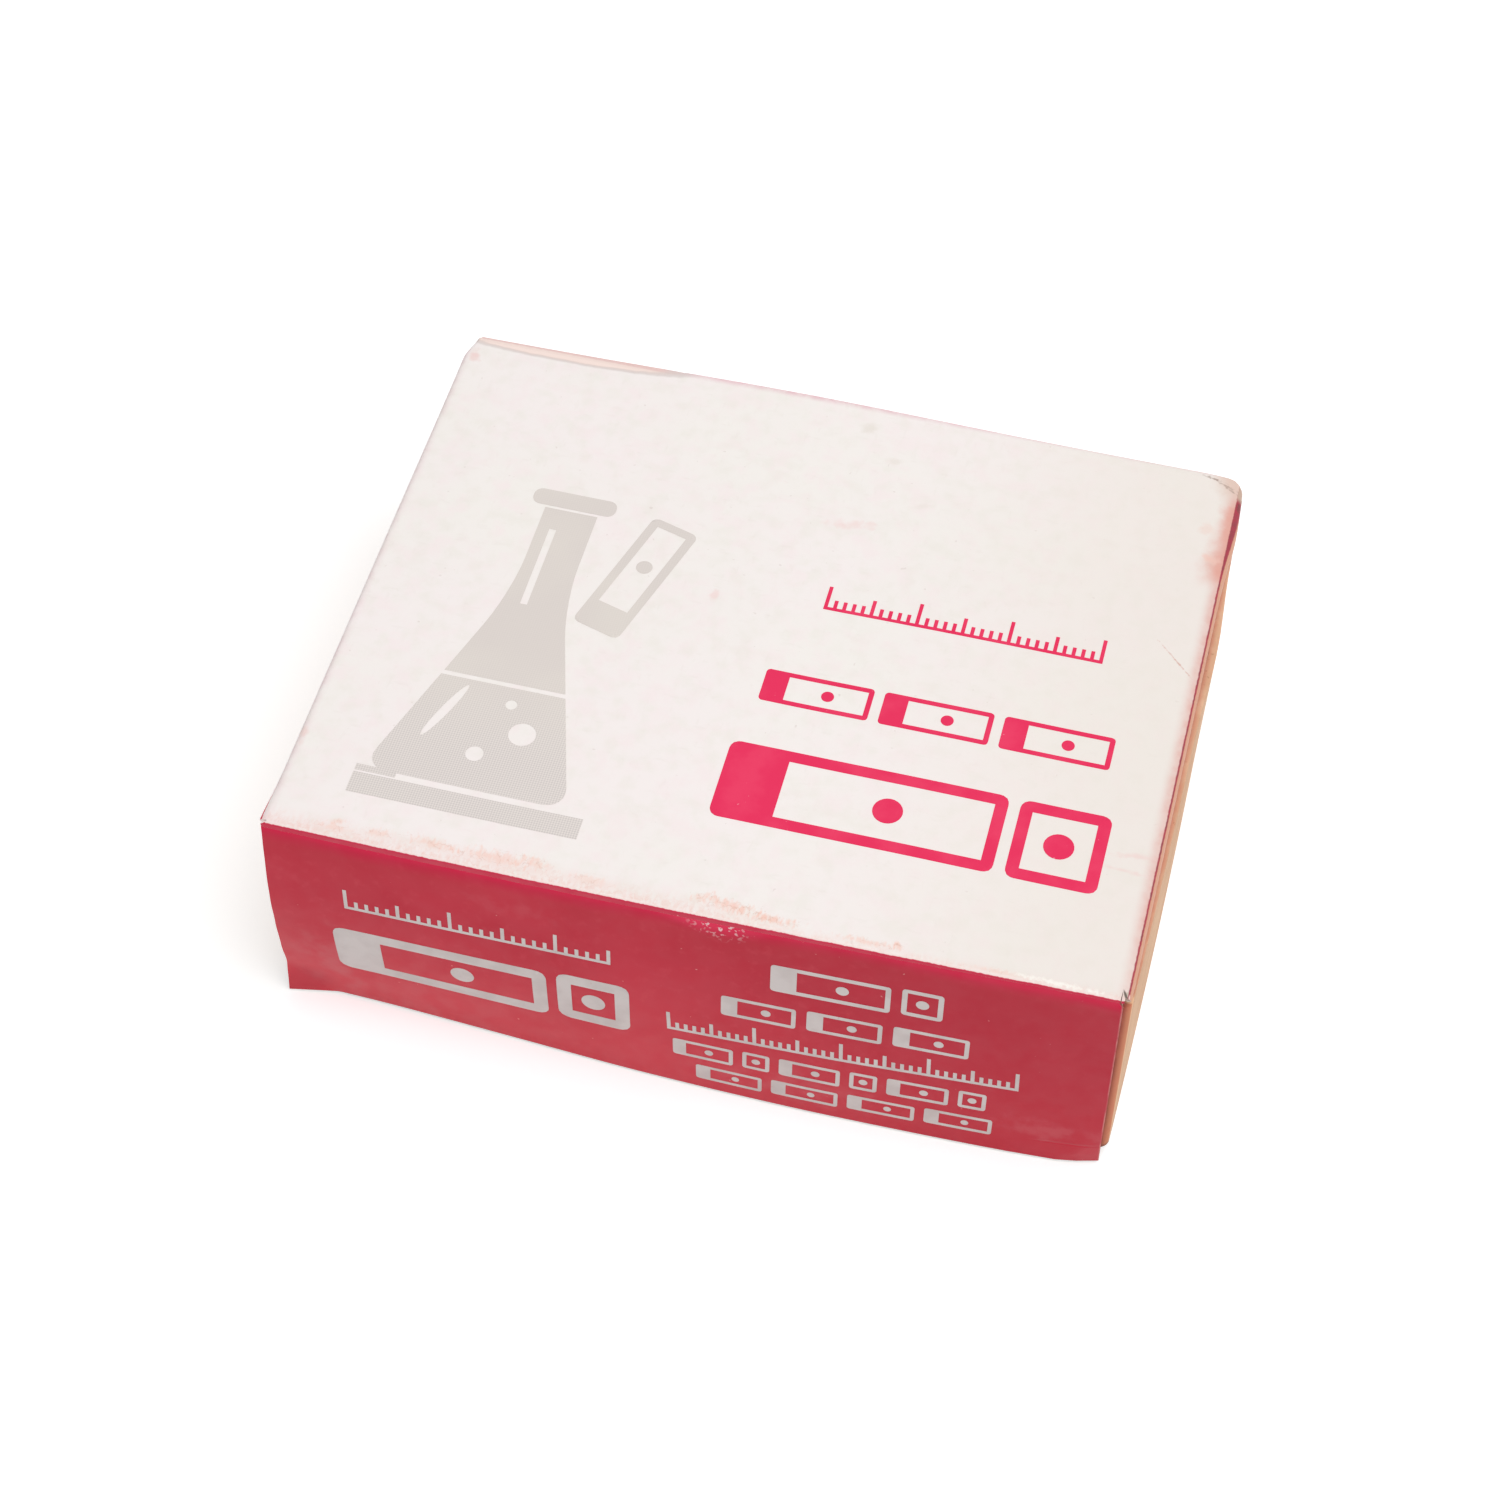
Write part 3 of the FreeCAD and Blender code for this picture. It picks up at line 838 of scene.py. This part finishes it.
# The crests are rubbed through to the paper, and carry a painted highlight along the front fold
crest = area((drop, 0.00003, 0.00009), (drop, 0.00015, 0.0001), (ragged, 0.36, 0.5, 0.3, 0.8))
card_colour = blend(times(at_fold, crest), card_colour, (252, 226, 222))
back_corner = fade(reach_of(where, from_middle(0.0402, 0.0320), 0.0030, 0.0034), 1.05, 0.8)
card_colour = blend(times(back_corner, printed), card_colour, (198, 168, 150))
card_colour = lay_stains_and_painted_light(where, fine, card_colour, (112, 52, 50), [(0.0398, 0.0280, 0.0004, 0.0009, 0, 0.9)])
# painted shade in the slit of the tear at the front right corner
slit_painted_shade = reach_of(where, from_middle(0.0393, -0.0307), 0.00065, 0.00012, -64)
card_colour = tint(card_colour, (slit_painted_shade, 1.3, 0.6, 0.95, (96, 82, 72)))
feed(surface, "Base Color", card_colour)
feed(surface, "Roughness", fade(rosy, 0.35, 0.7, 0.42, 0.58))
relief = emboss(surface, dull, 0.000016, 0.5)
relief = emboss(surface, fine, 0.000008, 0.6, relief)
emboss(surface, minus(1.0, crease_line), 0.00005, 0.5, relief)
add_thickness(lid, lid_print)
press(lid, widen_front_bead)

# A short tear at the front right corner, where the cut between end flap and front flap has run on
tear_width = 0.00016
tear_length = 0.0011
tear_taper = 0.2
tear_left = lid_middle.x + 0.0389
past = 0.001
tear = block("corner_tear", Vector((tear_left, fold_front - past, hinge_height - past)),
             Vector((tear_left + tear_width, fold_front + tear_length, lid_top + past)))
pick(tear, "VERT", lambda co: co.y > fold_front)
bpy.ops.transform.resize(value=(tear_taper, 1, 1))
bpy.ops.object.mode_set(mode="OBJECT")


def cut_with(piece, cutter):
    """Cuts one closed shape out of another, and throws the cutter away."""
    bpy.ops.object.select_all(action="DESELECT")
    piece.select_set(True)
    fit_modifier(piece, "BOOLEAN", operation="DIFFERENCE", object=cutter, solver="MANIFOLD")
    bpy.data.objects.remove(cutter)


cut_with(lid, tear)
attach(lid, "lid")
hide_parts("lid")


# Front flap: the tongue of the case that hangs over the tray's front. It is held by its fold alone,
# so its foot has bowed out, its left side has bellied, and its lower left corner has curled.

flap_low, flap_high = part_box("front_flap")
flap_left = flap_low.x
flap_top = flap_high.z
flap_floor_gap = flap_low.z
flap_drop = flap_top - flap_floor_gap
flap_top_inset = 0.00065
flap_foot_inset = 0.0004
flap_top_rounding = 0.0004
foot_bow = 0.0016
foot_bow_middle = lid_middle.x + 0.006
foot_bow_left_span = 0.046
foot_bow_right_span = 0.058
side_belly = 0.00125
corner_curl = 0.0009
corner_curl_size = 0.0044
corner_tuck = 0.0005
corner_tuck_size = 0.004
foot_flare = 0.00026
foot_flare_place = lid_middle.x + 0.031
foot_flare_span = 0.033
left_spread = 0.00015
left_foot_spread = 0.0002
flare_easing = 0.002
side_rounding = 0.001
foot_share = 0.2
ripple_height = 0.00008
side_roughness = 0.00006
seat_height = tray_high.z + 0.0003
seat_gap_front = 0.00003


def flap_offset(x, across, down):
    """How far the flap stands out from its fold: bowed foot, bellied left side, one corner out, one in."""
    away = x - foot_bow_middle
    span = foot_bow_left_span if away < 0 else foot_bow_right_span
    bow = foot_bow * math.cos(math.pi / 2 * min(abs(away) / span, 1)) ** 2 * down ** 1.5
    from_right = lid_right - flap_foot_inset - x
    flare = foot_flare * max(1 - abs(x - foot_flare_place) / foot_flare_span, 0)
    flare *= min(from_right / flare_easing, 1) * down ** 2
    belly = side_belly * (1 - across) * math.sin(math.pi * down)
    from_foot = (1 - down) * hinge_height
    curl = corner_curl * max(1 - (x - flap_left + from_foot) / corner_curl_size, 0)
    return bow + flare + belly + curl - corner_tuck * max(1 - (from_right + from_foot) / corner_tuck_size, 0)


def hang(co):
    """Puts a point of the flat tongue where it hangs, warped, in front of the tray."""
    across = (co.x - flap_left) / (lid_right - flap_left)
    down = within((fold_front - co.y) / flap_drop)
    inset = flap_top_inset + (flap_foot_inset - flap_top_inset) * down
    inset += flap_top_rounding * max(1 - down * flap_drop / side_rounding, 0) ** 2
    x = flap_left + across * (lid_right - flap_left - inset)
    x -= (left_spread + left_foot_spread * max(1 - (1 - down) / foot_share, 0)) * (1 - across) ** 6
    below_lip = max(fold_shift(x), 0)
    skew = fold_shift(x) * (1 - down) + ragged_fold(x) * max(1 - down * 20, 0)
    ripple = noise.noise(Vector((x * 70, 0, down * 2))) * ripple_height * min(down * 4, 1)
    rough_side = noise.noise(Vector((5, 1, down * 9))) * side_roughness if across in (0, 1) else 0
    y = fold_front - skew - ripple - flap_offset(x, across, down)
    z = flap_top - below_lip - (flap_drop - below_lip) * down
    if z < seat_height:
        y = min(y, tray_low.y - card - seat_gap_front)
    return Vector((x + rough_side, y, z))


front_flap = sheet("front_flap_card", Vector((flap_left, fold_front - flap_drop, flap_top)),
                   Vector((lid_right, fold_front, flap_top)), 158, 54)
press(front_flap, hang)
face_outwards(front_flap, lambda middle: True, (0, -1, 0))

front_print, surface = start_finish("printed_card_front", print_red, 0.42)
where, along_x, _, along_z = places(surface)
face_place = add_node(surface, "CombineXYZ", X=along_x, Y=along_z).outputs[0]
foot_middle = Vector((lid_middle.x, 0, 0))
below_top = minus(flap_top, along_z)
slow = grain(where, 0.012, 3, (1.8, 1, 1), shift=3)
ragged = grain(where, 0.002, 5, shift=9)
flakes = grain(where, 0.00042, 2, shift=19)
near_fold = fade(roughen(below_top, slow, 0.0022), 0.0024, 0.0004)
right_side = times(fade(along_x, lid_middle.x + 0.006, lid_middle.x + 0.028, 0, 0.6), minus(1.0, near_fold))
red = blend(right_side, red_print(where, near_fold, 2), (188, 32, 54))
# painted light where the card curves into the front fold: a deeper crimson band, brightest near its middle
vivid = area((roughen(below_top, slow, 0.0016), 0.0012, 0.0002),
             (along_x, lid_middle.x + 0.008, lid_middle.x + 0.018, 1.0, 0.75))
red = blend(vivid, red, (228, 20, 72))
red = lay_stains_and_painted_light(face_place, slow, red, (246, 52, 94), [(0.0015, flap_top - 0.0002, 0.0085, 0.0021, -3, 0.85)],
                 foot_middle)
# painted light: the lower flap is painted paler, for light bounced up from the floor, most at the left
lower = area((along_z, flap_top - 0.006, flap_low.z + 0.002, 0, 0.5), (along_x, lid_right, lid_left, 0.35, 1.0))
red = blend(lower, red, (244, 84, 94))
# painted shade by the crease of the curled lower left corner
red = lay_stains_and_painted_light(face_place, slow, red, (150, 30, 50), [(-0.0385, 0.0018, 0.0042, 0.0026, 38, 0.25)],
                 foot_middle)
red = lay_stains_and_painted_light(face_place, ragged, red, (216, 104, 112), [
    (-0.0340, 0.0085, 0.0042, 0.0060, 10, 0.35), (0.0100, 0.0040, 0.0120, 0.0030, 2, 0.25),
    (0.0340, 0.0048, 0.0060, 0.0022, 2, 0.35), (-0.0160, 0.0225, 0.0060, 0.0014, 0, 0.2)], foot_middle)
flaking = patch(face_place, slow, foot_middle + Vector((0.0030, flap_top - 0.0006, 0)), 0.0046, 0.0022, -6)
red = blend(times(flaking, fade(flakes, 0.56, 0.64, 0, 0.95)), red, (252, 218, 220))
side_slope = (flap_foot_inset - flap_top_inset) / flap_drop
from_side = minus(work_out("MULTIPLY_ADD", along_z, side_slope, lid_right - flap_foot_inset), along_x)
side_worn = area((from_side, 0.00016, 0.00004), (ragged, 0.3, 0.6, 0.15, 0.6))
red = blend(side_worn, red, (232, 168, 160))
feed(surface, "Base Color", red)
feed(surface, "Roughness", fade(ragged, 0.3, 0.7, 0.34, 0.5))
feed(surface, "Specular IOR Level", 0.18)
relief = emboss(surface, grain(where, 0.0009, 4, shift=1), 0.000014, 0.5)
low_crease = reach_of(face_place, foot_middle + Vector((0.0365, 0.0031, 0)), 0.0044, 0.00025, 4)
emboss(surface, fade(low_crease, 0.2, 1.0), 0.00006, 0.7, relief)
add_thickness(front_flap, front_print)
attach(front_flap, "front_flap")
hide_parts("front_flap")


# Print on the lid: crimson ink in three rows at the right, and a picture in grey half-tone at the left.
# The rows show plain slides with their marking ends and cover glasses, and a scale. It is ink on the card.

ink_depth = 0.000014
ink_lift = 0.000008
ink_pieces = 0.0015


def slide_mark(width, height, stroke, kind):
    """A slide that lies on its side, in outline, with its marking end filled in, or a plain cover glass."""
    mark = start_piece(bpy.ops.mesh.primitive_plane_add, "slide_mark", (width, height, 1), size=1)
    bpy.ops.object.mode_set(mode="EDIT")
    bpy.ops.mesh.select_all(action="SELECT")
    bpy.ops.mesh.inset(thickness=stroke)
    marking_end = width * 0.22 if kind == "left end" else 0
    if marking_end:
        bpy.ops.mesh.bisect(plane_co=(marking_end - width / 2, 0, 0), plane_no=(1, 0, 0))
    pick(mark, "FACE", lambda middle, normal: abs(middle.y) < stroke / 10
         and marking_end < middle.x + width / 2 and abs(middle.x) < width / 2 - stroke * 0.9)
    bpy.ops.mesh.delete(type="ONLY_FACE")
    pick(mark, "VERT", lambda co: abs(co.x) > width / 2 - stroke / 10 and abs(co.y) > height / 2 - stroke / 10)
    bpy.ops.mesh.bevel(offset=stroke * 0.8, segments=4, affect="VERTICES")
    bpy.ops.mesh.select_all(action="DESELECT")
    if kind != "bare":
        bpy.ops.mesh.primitive_circle_add(vertices=24, radius=height * 0.16, fill_type="NGON",
                                          location=(width * 0.1 if marking_end else 0, 0, 0))
    bpy.ops.object.mode_set(mode="OBJECT")
    return mark


def join_marks(marks, name, place):
    """Makes one flat drawing of several marks, and puts it where it is to be printed."""
    bpy.ops.object.select_all(action="DESELECT")
    for mark in marks:
        mark.select_set(True)
    bpy.context.view_layer.objects.active = marks[0]
    bpy.ops.object.join()
    marks[0].name = name
    marks[0].data.transform(place)
    return marks[0]


def shift_mark(mark, x, y, turned=0.0):
    """Turns a flat mark about its middle and puts it in place."""
    mark.data.transform(Matrix.Translation((x, y, 0)) @ Matrix.Rotation(math.radians(turned), 4, "Z"))
    return mark


def slide_row(left, base, height, stroke, widths, gap, rise=0.0):
    """A row of slides and cover glasses end to end. Each is given by its width and what is on it."""
    row = []
    start = left
    for width, kind in widths:
        mark = slide_mark(width, height, stroke, kind)
        row.append(shift_mark(mark, start + width / 2, base + height / 2 + rise * (start - left)))
        start += width + gap
    return row


def flat_bar(low_x, low_y, high_x, high_y):
    """A plain bar of ink."""
    bar = start_piece(bpy.ops.mesh.primitive_plane_add, "bar", (high_x - low_x, high_y - low_y, 1), size=1)
    return shift_mark(bar, (low_x + high_x) / 2, (low_y + high_y) / 2)


def scale_row(left, right, base, height, stroke, divisions, rise=0.0):
    """A stage scale: a base line with even ticks, each fifth one long and each tenth one longest."""
    row = [flat_bar(left, base, right, base + stroke)]
    for number in range(divisions + 1):
        tick = 1.0 if number % 10 == 0 else 0.75 if number % 5 == 0 else 0.45
        x = left + (right - left - stroke) * number / divisions
        row.append(flat_bar(x, base + stroke * 0.5, x + stroke, base + height * tick))
    pivot = Matrix.Translation((left, base, 0))
    for bar in row:
        bar.data.transform(pivot @ Matrix.Rotation(math.atan2(rise, right - left), 4, "Z") @ pivot.inverted())
    return row


def lay_ink(ink, target, direction, finish, body):
    """Cuts a flat drawing fine, lays it on a card along a direction, and gives the ink its depth."""
    low = Vector([min(v.co[i] for v in ink.data.vertices) for i in range(3)])
    high = Vector([max(v.co[i] for v in ink.data.vertices) for i in range(3)])
    for axis in range(3):
        count = int((high[axis] - low[axis]) / ink_pieces)
        normal = [float(i == axis) for i in range(3)]
        if count > 1:
            slice_piece(even_steps(low[axis], high[axis], count), normal)
    axis = "z" if direction == "down" else "y"
    fit_modifier(ink, "SHRINKWRAP", target=target, wrap_method="PROJECT", offset=ink_lift,
                 use_project_x=False, use_project_y=axis == "y", use_project_z=axis == "z",
                 use_negative_direction=direction == "down", use_positive_direction=direction != "down")
    fit_modifier(ink, "SOLIDIFY", thickness=ink_depth, offset=1, use_even_offset=False)
    ink.data.materials.clear()
    ink.data.materials.append(finish)
    smooth(ink, 40)
    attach(ink, body)


crimson_ink, surface = start_finish("crimson_ink", (232, 65, 101), 0.45)
where = places(surface)[0]
paper_grain = grain(where, 0.0004, 3, shift=2)
thin_ink = grain(where, 0.003, 4, shift=8)
tone = blend(fade(thin_ink, 0.4, 0.7), (234, 44, 92), (238, 58, 100))
feed(surface, "Base Color", tint(tone, (paper_grain, 0.72, 0.8, 0.6, (247, 170, 184))))
feed(surface, "Specular IOR Level", 0.25)
emboss(surface, paper_grain, 0.000008, 0.5)

top_rows = scale_row(0.0035, 0.0305, 0.0053, 0.0029, 0.00036, 30)
top_rows += slide_row(0.0002, -0.0069, 0.0038, 0.0005, [(0.0104, "left end")] * 3, 0.001)
top_rows += slide_row(-0.0009, -0.0209, 0.0088, 0.00118, [(0.0262, "left end"), (0.0084, "cover")], 0.0011)
above_lid = Matrix.Translation(lid_middle + Vector((0, 0, 0.002)))
crimson_rows = join_marks(top_rows, "crimson_print_rows", above_lid)
lay_ink(crimson_rows, lid, "down", crimson_ink, "lid")

halftone_ink, surface = start_finish("halftone_ink", (222, 214, 208), 0.5)
where, _, along_y, _ = places(surface)
screen_pitch = 0.00034
turned = add_node(surface, "Mapping", Vector=where, Rotation=(0, 0, math.radians(45)),
                  Scale=[2 * math.pi / screen_pitch] * 3)
split = add_node(surface, "SeparateXYZ", Vector=turned.outputs[0]).outputs
dots = times(work_out("SINE", split[0]), work_out("SINE", split[1]))
coarse = fade(grain(where, 0.012, 2, shift=4), 0.35, 0.6)
even_tone = blend(coarse, (225, 217, 209), (221, 212, 206))
dotted = blend(fade(dots, -0.35, 0.35), (232, 224, 219), (207, 199, 196))
low_down = fade(along_y, lid_middle.y - 0.006, lid_middle.y - 0.020, 0.12, 0.8)
feed(surface, "Base Color", blend(low_down, even_tone, dotted))
emboss(surface, grain(where, 0.0011, 4, (2.2, 1, 1), shift=5), 0.000015, 0.5)

# The picture: a conical flask on a slide, and a slide with a cover glass leaning beside its neck
flask_middle = -0.0232
flask_foot = -0.0236
flask_reach = 0.0098
flask_body = 0.0235
flask_neck = 0.0112
neck_share = 0.27
flask = flat_bar(flask_middle - flask_reach, flask_foot, flask_middle + flask_reach, flask_foot + flask_body)
pick(flask, "VERT", lambda co: co.y > flask_foot + flask_body / 2)
bpy.ops.transform.resize(value=(neck_share, 1, 1), center_override=(flask_middle, 0, 0))
pick(flask, "EDGE", lambda middle, along: middle.y > flask_foot + 0.9 * flask_body)
bpy.ops.mesh.extrude_region_move(TRANSFORM_OT_translate={"value": (0, flask_neck, 0)})
pick(flask, "FACE", lambda middle, normal: True)
bpy.ops.mesh.dissolve_faces()
pick(flask, "VERT", lambda co: abs(co.y - flask_foot - flask_body) < near)
bpy.ops.mesh.bevel(offset=0.0045, segments=6, affect="VERTICES")
pick(flask, "VERT", lambda co: co.y < flask_foot + near)
bpy.ops.mesh.bevel(offset=0.0024, segments=6, affect="VERTICES")
bpy.ops.object.mode_set(mode="OBJECT")
fit_modifier(flask, "SOLIDIFY", thickness=0.001, offset=0)


# Bare lines and bubbles in the flask: each has its place from the flask's foot, its size, turn and shape
for x, y, width, height, tilt, is_round in [
        (0, 0.0125, 0.03, 0.0005, 0, False), (-0.0044, 0.0082, 0.0009, 0.0072, -21, True),
        (0.0034, 0.0072, 0.0026, 0.0026, 0, True), (-0.0002, 0.0040, 0.0017, 0.0017, 0, True),
        (0.0014, 0.0103, 0.0011, 0.0011, 0, True), (-0.0011, 0.0272, 0.0007, 0.0098, 0, False)]:
    add, settings = bpy.ops.mesh.primitive_cube_add, {"size": 1}
    if is_round:
        add, settings = bpy.ops.mesh.primitive_cylinder_add, {"vertices": 28, "radius": 0.5, "depth": 1}
    cutter = start_piece(add, "cutter", (width, height, 0.01), **settings)
    cut_with(flask, shift_mark(cutter, flask_middle + x, flask_foot + y, tilt))
pick(flask, "FACE", lambda middle, normal: normal.z < 0.5)
bpy.ops.mesh.delete(type="FACE")
bpy.ops.object.mode_set(mode="OBJECT")
press(flask, lambda co: Vector((co.x, co.y, 0)))

rim = flat_bar(flask_middle - 0.0042, flask_foot + 0.0350, flask_middle + 0.0042, flask_foot + 0.0370)
work_all(bpy.ops.mesh.bevel, offset=0.00085, segments=5, affect="VERTICES")
foot_slide = flat_bar(-0.0335, -0.0266, -0.0116, -0.0243)
foot_end = flat_bar(-0.0335, -0.0241, -0.0296, -0.0234)
leaning = shift_mark(slide_mark(0.0150, 0.0050, 0.0009, "left end"), -0.0148, 0.0046, 74)
picture = join_marks([flask, rim, foot_slide, foot_end, leaning], "halftone_print_picture", above_lid)
lay_ink(picture, lid, "down", halftone_ink, "lid")


# Print on the front flap: silver-grey ink on the crimson, in a bold row under a fine one at the left
# and a block of five rows at the right. Its motifs are those of the lid.

silver_ink, surface = start_finish("silver_ink", (214, 205, 202), 0.4)
where = places(surface)[0]
thin_ink = grain(where, 0.0025, 4, shift=6)
paper_grain = grain(where, 0.0004, 3, shift=12)
tone = blend(fade(thin_ink, 0.35, 0.7), (220, 212, 209), (208, 198, 195))
feed(surface, "Base Color", tint(tone, (paper_grain, 0.7, 0.8, 0.6, (206, 120, 124))))
emboss(surface, paper_grain, 0.000008, 0.5)

front_rows = scale_row(-0.0325, -0.0070, 0.0173, 0.0027, 0.00036, 25)
front_rows += slide_row(-0.0341, 0.0067, 0.0072, 0.0014, [(0.0208, "left end"), (0.0070, "cover")], 0.001, 0.02)
front_rows += slide_row(0.0079, 0.0184, 0.0038, 0.0005, [(0.0110, "left end"), (0.0038, "cover")], 0.001, 0.02)
front_rows += slide_row(0.0034, 0.0133, 0.0029, 0.00042, [(0.0070, "left end")] * 3, 0.001, 0.025)
front_rows += scale_row(-0.0017, 0.0313, 0.0092, 0.0027, 0.00036, 40, rise=0.001)
front_rows += slide_row(-0.0012, 0.0052, 0.0026, 0.0004, [(0.0058, "left end"), (0.0026, "cover")] * 3,
                        0.0009, 0.03)
front_rows += slide_row(0.0010, 0.0018, 0.0023, 0.00038, [(0.0064, "left end")] * 4, 0.0009, 0.03)
before_flap = Matrix.Translation((lid_middle.x, fold_front - 0.01, 0)) @ Matrix.Rotation(math.pi / 2, 4, "X")
silver_rows = join_marks(front_rows, "silver_print_rows", before_flap)
lay_ink(silver_rows, front_flap, "back", silver_ink, "front_flap")


# Studio: a plain pale floor, a white surround, one large soft lamp above and behind to the right,
# and a camera that looks down on the front of the box.

def seen_directly(beside):
    """1 where the camera sees a surface, straight, in a gloss or through glass, and 0 for its light."""
    rays = add_node(beside, "LightPath").outputs
    in_glass = work_out("MAXIMUM", rays["Is Glossy Ray"], rays["Is Transmission Ray"])
    return work_out("MAXIMUM", rays["Is Camera Ray"], in_glass)


floor = start_piece(bpy.ops.mesh.primitive_plane_add, "studio_floor", (1, 1, 1), size=3)
floor.location.z = -0.00005
floor_paint, surface = start_finish("studio_floor_paint", (236, 236, 236), 0.9)
feed(surface, "Specular IOR Level", 0.0)
feed(surface, "Emission Color", (1, 1, 1, 1))
away = add_node(surface, "VectorMath", Vector=places(surface)[0])
away.operation = "LENGTH"
floor_glow = fade(away.outputs["Value"], 0.25, 0.8, 0.4, 0.7)
feed(surface, "Emission Strength", times(seen_directly(surface), floor_glow))
floor.data.materials.append(floor_paint)

world = bpy.data.worlds.new("studio_surround")
bpy.context.scene.world = world
world.use_nodes = True
background = world.node_tree.nodes["Background"]
feed(background, "Color", (1, 1, 1, 1))
feed(background, "Strength", work_out("MULTIPLY_ADD", seen_directly(background), 0.55, 0.45))

lamp_from = Vector((0.45, -0.15, 1.15))
bpy.ops.object.light_add(type="AREA", location=lamp_from)
lamp = bpy.context.active_object
lamp.name = "soft_lamp"
lamp.rotation_euler = lamp_from.to_track_quat("Z", "Y").to_euler()
lamp.data.shape = "DISK"
lamp.data.size = 1.3
lamp.data.energy = 10.8

camera_azimuth = math.radians(14.366)
camera_elevation = math.radians(52.578)
camera_roll = math.radians(0.1455)
camera_place = Vector((lid_middle.x + 0.044345, lid_middle.y - 0.182073, 0.255387))
bpy.ops.object.camera_add(location=camera_place)
camera = bpy.context.active_object
camera.name = "camera"
look = Vector((-math.sin(camera_azimuth) * math.cos(camera_elevation),
               math.cos(camera_azimuth) * math.cos(camera_elevation), -math.sin(camera_elevation)))
camera.rotation_euler = (look.to_track_quat("-Z", "Y") @ Euler((0, 0, camera_roll)).to_quaternion()).to_euler()
camera.data.sensor_width = 36
camera.data.lens = 75.014
camera.data.clip_start = 0.01
camera.data.clip_end = 10
bpy.context.scene.camera = camera
bpy.context.scene.view_settings.view_transform = "Standard"
